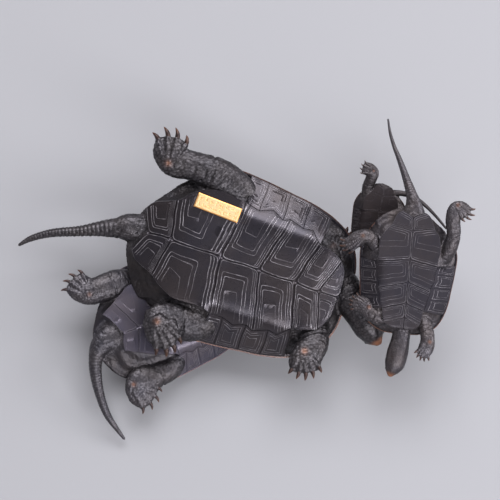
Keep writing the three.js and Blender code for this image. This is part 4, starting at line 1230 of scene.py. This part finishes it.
def carve_skin(mesh, turtle, skin, rng):
    """Scales, folds and jaw on the fused skin. Returns how far each point is lightened grey, partly wear and
    partly painted highlight on the scale tops, with painted shade left dark in the creases and folds, and how
    far it is bare.
    """
    points, normals = mesh_points(mesh)
    limbs = [path for path, _ in turtle["limbs"]] + [turtle["tail"], turtle["head"]]
    owner, run, share, turn, up, away = places_on_limbs(points, limbs)
    is_head = owner == len(limbs) - 1
    on_body = smoothstep(away, *BODY_BEGINS)
    on_foot = np.where(is_head, 0, smoothstep(share, *FOOT_BEGINS)) * (1 - on_body)

    # Scales, finer on the neck and coarser towards the feet
    coarse = np.where(is_head, 0.72 + 0.35 * share, 0.8 + 0.45 * share) * (1 - 0.15 * on_body)
    size = skin.scale_size / MM * coarse
    first, second = nearest_two(points, scale_seeds(points, size, rng))
    bump = smoothstep((second - first) / size, 0.0, 0.42) * (1 - 0.35 * (first / size) ** 2)
    relief = (skin.scale_height / MM * (bump - 0.55) * np.where(is_head & (share > 0.62), 0.25, 1.0)
              * (1 + FOOT_SCALES * on_foot))

    # Baggy creases between groups of scales
    size = CREASE_SIZE * (1 - 0.3 * is_head)
    first, second = nearest_two(points, scale_seeds(points, size, rng))
    crease = 1 - smoothstep((second - first) / size, 0.0, 0.3)
    relief -= CREASE_DEPTH * crease * np.where(is_head & (share > 0.55), 0.2, 1.0) * (1 - 0.5 * on_body)

    # Folds across the upper legs and the neck, and a deep one at the knee
    wave = (run * math.pi / (skin.fold_length / MM) + 1.1 * np.sin(turn + owner)
            + 0.6 * np.sin(3 * turn + 0.5 * run))
    fold = (1 - np.abs(np.sin(wave))) ** 5 * (0.6 + 0.4 * np.sin(2 * turn + 0.9 * run))
    upper = np.where(is_head, 1 - smoothstep(share, *NECK_FOLDS_END),
                     1 - 0.75 * smoothstep(share, *SHIN_BEGINS))
    relief -= skin.fold_depth / MM * fold * upper * (1 - 0.6 * on_body)
    past_knee = run - KNEE_AT * run / np.maximum(share, 1e-3) + 1.6 * np.sin(turn + 1)
    knee = np.exp(-(past_knee / KNEE_WIDTH) ** 2)
    relief -= np.where(is_head, 0, KNEE_DEPTH * knee * (1 - on_body))
    relief = relief * (1 - 0.6 * on_body * smoothstep(points[:, 2], 9, 12)) + loose_rolls(points, on_body)

    # The line of the jaw, and a smooth beak
    jaw_line = np.exp(-((up - 0.8 + 1.5 * (1 - share)) / 0.5) ** 2)
    relief -= np.where(is_head, JAW_DEPTH * jaw_line * smoothstep(share, *JAW_BEGINS), 0)
    points += normals * relief[:, None]
    mesh.vertices.foreach_set("co", points.astype(np.float32).ravel())
    bare = np.maximum(np.where(is_head, smoothstep(share, *BEAK_BEGINS), 0), worn_spots(points, turtle))
    # Grey share of the skin: lighter on the scale tops, partly wear and partly painted highlight, and dark in
    # the creases and folds as painted shade; it is also lower on the body and higher on the feet.
    rubbed = (np.clip(bump, 0, 1) * (1 - 0.7 * crease) * (1 - 0.6 * fold) * (1 - 0.9 * on_body)
              * (0.6 + 0.3 * on_foot))
    return rubbed, bare


def tail(surface, path):
    """A long tapering tail, ringed with scales."""
    centre, along, side, front, size = frames(path, OUTWARD, TAIL_RINGS, start=TAIL_ROOT * 0.6)
    size = size * (0.86 + 0.16 * smoothstep(np.linspace(0, 1, TAIL_RINGS), 0, 0.2))[:, None]
    run = run_along(centre)
    period = np.interp(run, (0, run[-1]), TAIL_PERIOD)
    count = np.concatenate([[0], np.cumsum(np.diff(run) / period[1:])])
    fade = smoothstep(run / run[-1], 0, 0.12)
    turns = np.linspace(0, 2 * math.pi, TAIL_SIDES, endpoint=False)
    rows = []
    for k in range(TAIL_RINGS):
        ring_bump = np.abs(np.sin(math.pi * count[k])) ** 0.6
        shift = math.pi / TAIL_SCALES * (int(count[k]) % 2)
        cell = np.abs(np.sin(TAIL_SCALES / 2 * turns + shift)) ** 0.5
        lift = (ring_bump * (0.55 + 0.45 * cell) - 0.6) * min(0.5, 0.15 * size[k, 0]) * fade[k]
        ring = (centre[k] + (np.cos(turns) * (size[k, 0] + lift))[:, None] * side[k]
                + (np.sin(turns) * (size[k, 1] + lift))[:, None] * front[k])
        # Ring-scale tops lighter grey through the polish share: partly wear, partly painted highlight.
        rows.append(surface.add(ring, np.clip(ring_bump * cell, 0, 1) * 0.85 * fade[k]))
    surface.bands(rows)
    surface.fan(rows[0][::-1], surface.add([centre[0]])[0])
    surface.fan(rows[-1], surface.add([centre[-1] + along[-1] * size[-1, 0]], 0.8)[0])


def eyes(surface, path):
    """Two round eyes at the sides of the head."""
    centre, along, side, front, size = frames(path, OUTWARD, HEAD_SAMPLES)
    k = int(HEAD_SAMPLES * EYE_AT)
    for look in (-side[k], side[k]):
        at = centre[k] + look * size[k, 0] * 0.8 - front[k] * size[k, 1] * 0.3
        route = [(*(at + look * out), r, r) for out, r in EYE_SHAPE]
        tube(surface, route, along[k], rings=6, sides=14)


# Making objects

def set_in_group(points, turtle):
    """From a turtle's own frame, in millimetres, to the frame of the group, in metres."""
    heading, pitch, roll = (math.radians(a) for a in turtle["turns"])
    turn = Matrix.Rotation(heading, 3, "Z") @ Matrix.Rotation(pitch, 3, "Y") @ Matrix.Rotation(roll, 3, "X")
    lean = Matrix.Rotation(BELLY_TILT, 3, "X")
    points = points * turtle["scale"] @ np.array(turn).T + np.array(turtle["at"])
    points = points @ np.array(lean).T + np.array([*GROUP_SHIFT, FLOOR_DEPTH])
    points[:, 2] = np.maximum(points[:, 2], 0)
    return points * MM


def joined(name, parts, turtle, crisp=False):
    """One object of several meshes, each with its material, set in its place in the group."""
    bm = bmesh.new()
    mesh = bpy.data.meshes.new(name)
    for slot, (part, material) in enumerate(parts):
        first = len(bm.faces)
        bm.from_mesh(part)
        bm.faces.ensure_lookup_table()
        for face in bm.faces[first:]:
            face.material_index = slot
            face.smooth = True
        mesh.materials.append(material)
    bm.normal_update()
    bm.to_mesh(mesh)
    bm.free()
    points, _ = mesh_points(mesh)
    mesh.vertices.foreach_set("co", set_in_group(points, turtle).astype(np.float32).ravel())
    mesh.update()
    if crisp:
        mesh.set_sharp_from_angle(angle=CRISP_ANGLE)
    piece = bpy.data.objects.new(name, mesh)
    bpy.context.scene.collection.objects.link(piece)
    return piece


def mesh_of(bm, name):
    mesh = bpy.data.meshes.new(name)
    bm.to_mesh(mesh)
    bm.free()
    return mesh


def set_attribute(mesh, name, values):
    attribute = mesh.attributes.get(name) or mesh.attributes.new(name, "FLOAT", "POINT")
    attribute.data.foreach_set("value", np.asarray(values, np.float32))


def rim_rub(mesh):
    """Marks the edge of the rim, where the patina is rubbed down to the bronze."""
    points, _ = mesh_points(mesh)
    share = rim_share(points[:, 0], points[:, 1])
    near_plane = np.exp(-((points[:, 2] + 0.1) / 0.8) ** 2)
    set_attribute(mesh, "copper", RIM_WEAR * smoothstep(share, *RIM_WORN) * near_plane)


def build_turtle(context, turtle):
    """Makes the shell and the flesh of one turtle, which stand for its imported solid."""
    scene = context.scene
    name, limbs = turtle["name"], turtle["limbs"]
    back = mesh_of(back_shell(turtle, scene.turtle_shell), "back")
    belly = mesh_of(belly_shell(turtle, scene.turtle_shell), "belly")
    for mesh in (back, belly):
        rim_rub(mesh)
    bronze = shell_bronze(turtle, scene.turtle_bronze)
    hide = skin_bronze(turtle, scene.turtle_bronze)
    shell = joined(name + "_shell", [(back, bronze), (belly, bronze)], turtle, crisp=True)

    soft = Surface()
    flesh_core(soft, turtle)
    for path, toes in limbs:
        tube(soft, path, blunt=0.3)
        foot(soft, path, toes)
    tube(soft, turtle["head"], rings=36, sides=24)
    tube(soft, turtle["tail"], rings=24, sides=24, end=TAIL_ROOT)
    skin = fused(soft, "skin", scene.turtle_skin.grain / MM * turtle["coarse"])
    rubbed, bare = carve_skin(skin, turtle, scene.turtle_skin, np.random.default_rng(turtle["seed"]))
    # The skin's polish share is partly wear and partly painted highlight on the scale tops, and painted shade
    # in the creases and folds.
    set_attribute(skin, "polish", rubbed)
    set_attribute(skin, "copper", bare)

    hard = Surface()
    for path, toes in limbs:
        claw_set(hard, path, toes)
    claws = hard.mesh("claws")
    along = np.append(np.repeat(np.linspace(0, 1, CLAW_RINGS + 2), CLAW_SIDES), (0, 1))
    along = np.tile(along, sum(toes["count"] for _, toes in limbs))
    set_attribute(claws, "copper", CLAW_WEAR + CLAW_TIP_WEAR * smoothstep(along, 0.2, 1.0))
    trail = Surface()
    tail(trail, turtle["tail"])
    eyes(trail, turtle["head"])
    rear = trail.mesh("tail")
    set_attribute(rear, "copper", np.zeros(len(rear.vertices)))
    flesh = joined(name + "_skin", [(skin, hide), (claws, hide), (rear, hide)], turtle)
    for piece in (shell, flesh):
        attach(piece, "root")
        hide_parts(turtle["name"])
    for mesh in (back, belly, skin, claws, rear):
        bpy.data.meshes.remove(mesh)


def plaque_strokes(x, y):
    """How deep the plaque is cut at each place, from 0 to 1: two rows of short strokes."""
    rng = np.random.default_rng(PLAQUE_SEED)
    reach = PLAQUE_SIZE[0] / 2 - PLAQUE_MARGIN
    cut = np.zeros_like(x)
    for row in (-PLAQUE_ROW, PLAQUE_ROW):
        for cell in np.linspace(-reach, reach, PLAQUE_CELLS):
            for _ in range(STROKES):
                across = rng.random() < 0.5
                cx = cell + rng.uniform(-STROKE_DRIFT[0], STROKE_DRIFT[0])
                cy = row + rng.uniform(-STROKE_DRIFT[1], STROKE_DRIFT[1])
                half = rng.uniform(*STROKE_HALF)
                dx = np.maximum(np.abs(x - cx) - (half if across else 0), 0)
                dy = np.maximum(np.abs(y - cy) - (0 if across else half), 0)
                cut = np.maximum(cut, np.exp(-(dx ** 2 + dy ** 2) / STROKE_WIDTH ** 2))
    return cut


def build_plaque(context):
    """The gold plaque: a slab with soft edges and two rows of shallow strokes."""
    length, width, thick = PLAQUE_SIZE
    nx, ny = int(length / PLAQUE_STEP) + 1, int(width / PLAQUE_STEP) + 1
    x, y = np.meshgrid(np.linspace(-length / 2, length / 2, nx), np.linspace(-width / 2, width / 2, ny),
                       indexing="ij")
    edge = np.minimum(length / 2 - np.abs(x), width / 2 - np.abs(y))
    cut = plaque_strokes(x, y)
    top = float(belly_height(*PLAQUE_AT)) + PLAQUE_PROUD
    z = top + (-PLAQUE_EDGE * (1 - smoothstep(edge, 0, 0.7)) - STROKE_DEPTH * cut)
    dark = np.maximum(cut * 0.8, 1 - smoothstep(edge, 0.2, 1.0))
    c, s = math.cos(PLAQUE_TURN), math.sin(PLAQUE_TURN)
    turn = np.array([[c, -s], [s, c]])
    xy = (np.stack([x, y], axis=-1) @ turn.T + np.array(PLAQUE_AT)).reshape(-1, 2)
    surface = Surface()
    grid = surface.add(np.column_stack([xy, z.ravel()]), dark.ravel()).reshape(nx, ny)
    quads = np.stack([grid[:-1, :-1], grid[1:, :-1], grid[1:, 1:], grid[:-1, 1:]], axis=-1)
    surface.faces.extend(quads.reshape(-1, 4).tolist())
    bm = welded(surface, "plaque")
    border = carried_on(bm, open_edges(bm), lambda co: Vector((co.x, co.y, top - thick)))
    bmesh.ops.contextual_create(bm, geom=border)
    piece = joined("gold_plaque", [(mesh_of(bm, "plaque"), gold_inlay(context.scene.turtle_bronze))], LARGE)
    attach(piece, "root")
    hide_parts("signature_plaque")


# Finishes

def node(tree, kind, place=(0, 0), sockets=(), **values):
    """Adds a node, sets its plain values and those of its sockets."""
    made = tree.nodes.new(kind)
    made.location = place
    for name, value in values.items():
        setattr(made, name, value)
    for name, value in dict(sockets).items():
        made.inputs[name].default_value = value
    return made


def wire(tree, *links):
    """Links sockets, each link given as a node, its output, the next node and its input."""
    for start, leaving, end, entering in links:
        tree.links.new(start.outputs[leaving], end.inputs[entering])


def group_with(name, inputs, outputs):
    """An empty node group with named sockets, its two ends and the object's own coordinates."""
    group = bpy.data.node_groups.new(name, "ShaderNodeTree")
    for label, kind, default in inputs:
        socket = group.interface.new_socket(label, in_out="INPUT", socket_type=kind)
        if default is not None:
            socket.default_value = default
    for label, kind in outputs:
        group.interface.new_socket(label, in_out="OUTPUT", socket_type=kind)
    return (group, node(group, "NodeGroupInput", (-700, 0)), node(group, "NodeGroupOutput", (600, 0)),
            node(group, "ShaderNodeTexCoord", (-900, -200)))


def clouded_patina(name):
    """Patina that drifts between two colours, with a finer mottling."""
    group, start, end, where = group_with(
        name,
        [("Patina", "NodeSocketColor", None), ("Cloud", "NodeSocketColor", None),
         ("Scale", "NodeSocketFloat", 30.0)],
        [("Color", "NodeSocketColor"), ("Mask", "NodeSocketFloat")])
    noise = node(group, "ShaderNodeTexNoise", (-500, -100), {"Detail": 6.0, "Roughness": 0.62})
    ramp = node(group, "ShaderNodeMapRange", (-250, -100), {"From Min": 0.38, "From Max": 0.68})
    mix = node(group, "ShaderNodeMix", (200, 0), data_type="RGBA")
    wire(group, (where, "Object", noise, "Vector"), (start, "Scale", noise, "Scale"),
         (noise, "Fac", ramp, "Value"), (ramp, "Result", mix, "Factor"), (start, "Patina", mix, "A"),
         (start, "Cloud", mix, "B"), (mix, "Result", end, "Color"), (ramp, "Result", end, "Mask"))
    return group


def hand_wear(name):
    """Breaks up a rubbed share with fine noise, as handling does."""
    group, start, end, where = group_with(
        name,
        [("Rubbed", "NodeSocketFloat", 0.0), ("Amount", "NodeSocketFloat", 1.0),
         ("Scale", "NodeSocketFloat", 260.0)],
        [("Mask", "NodeSocketFloat")])
    noise = node(group, "ShaderNodeTexNoise", (-500, -200), {"Detail": 3.0})
    ramp = node(group, "ShaderNodeMapRange", (-250, -200), {"From Min": 0.3, "From Max": 0.6, "To Min": 0.35})
    strength = node(group, "ShaderNodeMath", (0, 0), operation="MULTIPLY")
    worn = node(group, "ShaderNodeMath", (200, 0), operation="MULTIPLY", use_clamp=True)
    wire(group, (where, "Object", noise, "Vector"), (start, "Scale", noise, "Scale"),
         (noise, "Fac", ramp, "Value"), (start, "Rubbed", strength, 0), (start, "Amount", strength, 1),
         (strength, "Value", worn, 0), (ramp, "Result", worn, 1), (worn, "Value", end, "Mask"))
    return group


def cast_grain(name):
    """The fine pitting of cast metal, as a height."""
    group, start, end, where = group_with(
        name,
        [("Scale", "NodeSocketFloat", 900.0), ("Pits", "NodeSocketFloat", 0.5)],
        [("Height", "NodeSocketFloat"), ("Mask", "NodeSocketFloat")])
    noise = node(group, "ShaderNodeTexNoise", (-500, 0), {"Detail": 5.0})
    cells = node(group, "ShaderNodeTexVoronoi", (-500, -300))
    pits = node(group, "ShaderNodeMath", (-200, -200), operation="MULTIPLY")
    total = node(group, "ShaderNodeMath", (100, 0), operation="ADD")
    wire(group, (where, "Object", noise, "Vector"), (start, "Scale", noise, "Scale"),
         (where, "Object", cells, "Vector"), (start, "Scale", cells, "Scale"),
         (cells, "Distance", pits, 0), (start, "Pits", pits, 1), (noise, "Fac", total, 0),
         (pits, "Value", total, 1), (total, "Value", end, "Height"), (noise, "Fac", end, "Mask"))
    return group


GROUPS = {"Clouded patina": clouded_patina, "Hand wear": hand_wear, "Cast grain": cast_grain}


def effect(tree, name, place, sockets):
    """Places one of the shared node groups, which is made the first time."""
    group = bpy.data.node_groups.get(name) or GROUPS[name](name)
    return node(tree, "ShaderNodeGroup", place, node_tree=group, sockets=sockets)


def metal_material(name, sockets, grain_scale, grain_depth, roughness):
    """A material of one metal shader, with the pitting of cast metal, and its tree and nodes."""
    material = bpy.data.materials.new(name)
    material.use_nodes = True
    tree = material.node_tree
    tree.nodes.clear()
    output = node(tree, "ShaderNodeOutputMaterial", (900, 0))
    metal = node(tree, "ShaderNodeBsdfPrincipled", (600, 0), sockets)
    grain = effect(tree, "Cast grain", (-400, -500), {"Scale": grain_scale})
    bump = node(tree, "ShaderNodeBump", (300, -400), {"Distance": grain_depth * MM})
    rough = node(tree, "ShaderNodeMapRange", (0, -200), {"To Min": roughness[0], "To Max": roughness[1]})
    marks = node(tree, "ShaderNodeAttribute", (-700, -100), attribute_name="polish")
    wire(tree, (grain, "Height", bump, "Height"), (bump, "Normal", metal, "Normal"),
         (grain, "Mask", rough, "Value"), (metal, "BSDF", output, "Surface"))
    return material, tree, metal, rough, marks


def bronze_material(name, finish, look):
    """Patinated bronze: clouded patina, grey on the relief that is partly polish and partly painted highlight
    and painted shade, bare bronze on rims, claws and beaks.
    """
    material, tree, metal, rough, polish = metal_material(
        name, {"Metallic": look["metallic"], "Specular IOR Level": 0.5, "Coat Weight": look["coat"],
               "Coat Roughness": look["coat_roughness"]},
        look["grain_scale"], look["grain_depth"], look["roughness"])
    toned, clouded = ([c * t for c, t in zip(colour[:3], look["tone"])] + [1.0]
                      for colour in (finish.patina, finish.cloud))
    patina = effect(tree, "Clouded patina", (-400, 200),
                    {"Patina": toned, "Cloud": clouded, "Scale": look["cloud_scale"]})
    copper = node(tree, "ShaderNodeAttribute", (-700, -300), attribute_name="copper")
    rubbed, bare = (effect(tree, "Hand wear", place, {"Amount": amount, "Scale": look["wear_scale"]})
                    for place, amount in (((-400, -100), look["polish"]), ((-400, -300), look["copper"])))
    # Greys the relief by the polish share: wear together with painted highlight, and on the skin painted
    # shade in the creases and folds.
    grey = node(tree, "ShaderNodeMix", (0, 200), {"B": finish.polish[:]}, data_type="RGBA")
    warm = node(tree, "ShaderNodeMix", (200, 200), {"B": finish.copper[:]}, data_type="RGBA")
    smooth = node(tree, "ShaderNodeMix", (250, -150), {"B": RUBBED_ROUGHNESS}, data_type="FLOAT")
    wire(tree, (polish, "Fac", rubbed, "Rubbed"), (copper, "Fac", bare, "Rubbed"),
         (patina, "Color", grey, "A"), (rubbed, "Mask", grey, "Factor"), (grey, "Result", warm, "A"),
         (bare, "Mask", warm, "Factor"), (warm, "Result", metal, "Base Color"),
         (rough, "Result", smooth, "A"), (rubbed, "Mask", smooth, "Factor"),
         (smooth, "Result", metal, "Roughness"))
    return material


def shell_bronze(turtle, finish):
    matt = turtle["matt"]
    return bronze_material(turtle["name"] + "_shell_bronze", finish, {
        "metallic": 0.85, "tone": turtle["tone"], "cloud_scale": 22.0, "polish": turtle["shine"],
        "copper": 1.0, "wear_scale": 420.0, "grain_scale": 1500.0, "grain_depth": 0.05,
        "roughness": (0.2 + matt, 0.42 + matt), "coat": 0.35 - matt, "coat_roughness": 0.22 + matt})


def skin_bronze(turtle, finish):
    # Its polish share greys the scale tops as wear and painted highlight, against painted shade in the
    # creases and folds.
    return bronze_material(turtle["name"] + "_skin_bronze", finish, {
        "metallic": 0.75, "tone": turtle["hide"], "cloud_scale": 60.0, "polish": 0.22, "copper": 0.8,
        "wear_scale": 300.0, "grain_scale": 1100.0, "grain_depth": 0.08, "roughness": (0.34, 0.52),
        "coat": 0.2, "coat_roughness": 0.3})


def gold_inlay(finish):
    """Bright gold, darker in its strokes and softly worn."""
    material, tree, metal, rough, marks = metal_material(
        "gold_inlay", {"Metallic": 0.9}, 2200.0, 0.03, (0.32, 0.52))
    tone = effect(tree, "Clouded patina", (-300, 200),
                  {"Patina": finish.gold[:], "Cloud": GOLD_CLOUD, "Scale": 260.0})
    dark = node(tree, "ShaderNodeMix", (200, 100), {"B": GOLD_DARK}, data_type="RGBA")
    wire(tree, (tone, "Color", dark, "A"), (marks, "Fac", dark, "Factor"),
         (dark, "Result", metal, "Base Color"), (rough, "Result", metal, "Roughness"))
    return material


# Floor, lights and camera

def look_from(thing, place, target, up):
    back = (place - target).normalized()
    right = up.cross(back).normalized()
    turn = Matrix((right, back.cross(right), back)).transposed()
    thing.matrix_world = Matrix.Translation(place) @ turn.to_4x4()


def soft_light(name, power, place, target, size):
    lamp = bpy.data.lights.new(name, "AREA")
    lamp.shape = "RECTANGLE"
    lamp.size, lamp.size_y = size
    lamp.energy = power
    lamp.color = LAMP_COLOUR
    lamp_object = bpy.data.objects.new(name, lamp)
    bpy.context.scene.collection.objects.link(lamp_object)
    look_from(lamp_object, Vector(place), Vector(target), Vector((0, 1, 0.01)))


def floor_paper(colour):
    material = bpy.data.materials.new("studio_paper")
    material.use_nodes = True
    tree = material.node_tree
    paper = tree.nodes["Principled BSDF"]
    paper.inputs["Roughness"].default_value = 0.9
    paper.inputs["Specular IOR Level"].default_value = 0.1
    where = node(tree, "ShaderNodeTexCoord", (-700, 0))
    fibre = node(tree, "ShaderNodeTexNoise", (-500, 0), {"Scale": 3.0})
    shades = {"A": colour[:], "B": [c * 1.01 for c in colour[:3]] + [1.0]}
    mix = node(tree, "ShaderNodeMix", (-200, 0), shades, data_type="RGBA")
    wire(tree, (where, "Object", fibre, "Vector"), (fibre, "Fac", mix, "Factor"),
         (mix, "Result", paper, "Base Color"))
    return material


def pale_room(brightness):
    """Surroundings that are bright at the horizon and darker overhead."""
    world = bpy.data.worlds.new("pale_room")
    world.use_nodes = True
    tree = world.node_tree
    sky = tree.nodes["Background"]
    sky.inputs["Color"].default_value = SKY_COLOUR
    where = node(tree, "ShaderNodeTexCoord", (-700, 0))
    parts = node(tree, "ShaderNodeSeparateXYZ", (-500, 0))
    fade = node(tree, "ShaderNodeMapRange", (-300, 0), {
        "From Min": 0.05, "From Max": 0.8, "To Min": brightness, "To Max": brightness * SKY_FADE,
    }, interpolation_type="SMOOTHSTEP")
    wire(tree, (where, "Generated", parts, "Vector"), (parts, "Z", fade, "Value"),
         (fade, "Result", sky, "Strength"))
    return world


def build_stage(context):
    """The floor, the surroundings, the lamps, and the camera square to the bellies."""
    scene, settings = context.scene, context.scene.turtle_studio
    mesh = bpy.data.meshes.new("studio_floor")
    corners = [(x * FLOOR_REACH, y * FLOOR_REACH, 0) for x, y in ((-1, -1), (1, -1), (1, 1), (-1, 1))]
    mesh.from_pydata(corners, [], [(0, 1, 2, 3)])
    mesh.materials.append(floor_paper(settings.floor))
    floor = bpy.data.objects.new("studio_floor", mesh)
    scene.collection.objects.link(floor)
    floor.location.z = -FLOOR_GAP
    floor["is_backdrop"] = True
    scene.world = pale_room(settings.sky)
    for name, (power, *place) in SOFTBOXES.items():
        soft_light(name, getattr(settings, power), *place)

    camera = bpy.data.cameras.new("studio_camera")
    camera.sensor_fit = "HORIZONTAL"
    camera.angle = 2 * math.atan(settings.frame_width / 2 / settings.distance)
    camera.clip_end = 20
    camera_object = bpy.data.objects.new("studio_camera", camera)
    scene.collection.objects.link(camera_object)
    middle = Vector((*GROUP_SHIFT, FLOOR_DEPTH)) * MM
    lean = Matrix.Rotation(BELLY_TILT, 3, "X")
    place = middle + lean @ Vector((0, 0, 1)) * settings.distance
    look_from(camera_object, place, middle, lean @ Vector((0, 1, 0)))
    scene.camera = camera_object
    scene.view_settings.view_transform = "Standard"


# Operators and panel

class TURTLES_OT_large(bpy.types.Operator):
    """Build the large turtle in the middle"""

    bl_idname = "turtles.large"
    bl_label = "Large turtle"

    def execute(self, context):
        build_turtle(context, LARGE)
        return {"FINISHED"}


class TURTLES_OT_rear(bpy.types.Operator):
    """Build the middle-sized turtle that lies half under the large one"""

    bl_idname = "turtles.rear"
    bl_label = "Rear turtle"

    def execute(self, context):
        build_turtle(context, REAR)
        return {"FINISHED"}


class TURTLES_OT_front(bpy.types.Operator):
    """Build the turtle that lies at the large one's head"""

    bl_idname = "turtles.front"
    bl_label = "Front turtle"

    def execute(self, context):
        build_turtle(context, FRONT)
        return {"FINISHED"}


class TURTLES_OT_small(bpy.types.Operator):
    """Build the smallest turtle, beneath the front one's tail"""

    bl_idname = "turtles.small"
    bl_label = "Small turtle"

    def execute(self, context):
        build_turtle(context, SMALL)
        return {"FINISHED"}


class TURTLES_OT_plaque(bpy.types.Operator):
    """Inlay the gold plaque in the large turtle's belly"""

    bl_idname = "turtles.plaque"
    bl_label = "Gold plaque"

    def execute(self, context):
        build_plaque(context)
        return {"FINISHED"}


class TURTLES_OT_stage(bpy.types.Operator):
    """Set up the floor, the soft lights and the camera"""

    bl_idname = "turtles.stage"
    bl_label = "Studio"

    def execute(self, context):
        build_stage(context)
        return {"FINISHED"}


class TURTLES_PT_sidebar(bpy.types.Panel):
    """Lists the parts of the turtle group"""

    bl_label = "Bronze turtle group"
    bl_idname = "TURTLES_PT_sidebar"
    bl_space_type = "VIEW_3D"
    bl_region_type = "UI"
    bl_category = "Turtles"

    def draw(self, context):
        layout = self.layout
        for operator in OPERATORS:
            layout.operator(operator.bl_idname)
        for name in SETTINGS:
            group = getattr(context.scene, name)
            box = layout.box()
            for key in group.bl_rna.properties.keys():
                if key not in ("rna_type", "name"):
                    box.prop(group, key)


OPERATORS = (TURTLES_OT_stage, TURTLES_OT_large, TURTLES_OT_rear, TURTLES_OT_front, TURTLES_OT_small,
             TURTLES_OT_plaque)
SETTINGS = {"turtle_shell": ShellCarving, "turtle_skin": SkinCarving, "turtle_bronze": BronzeFinish,
            "turtle_studio": StudioSettings}
CLASSES = (*SETTINGS.values(), *OPERATORS, TURTLES_PT_sidebar)


def register():
    for cls in CLASSES:
        bpy.utils.register_class(cls)
    for name, cls in SETTINGS.items():
        setattr(bpy.types.Scene, name, PointerProperty(type=cls))


def unregister():
    for name in SETTINGS:
        delattr(bpy.types.Scene, name)
    for cls in reversed(CLASSES):
        bpy.utils.unregister_class(cls)


def write_sizes():
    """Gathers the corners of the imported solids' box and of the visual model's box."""
    corners = [[list(corner) for corner in box] for box in (CAD_BOX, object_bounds())]


def main():
    register()
    bpy.ops.turtles.stage()
    bpy.ops.turtles.large()
    bpy.ops.turtles.rear()
    bpy.ops.turtles.front()
    bpy.ops.turtles.small()
    bpy.ops.turtles.plaque()
    write_sizes()


if __name__ == "__main__":
    main()
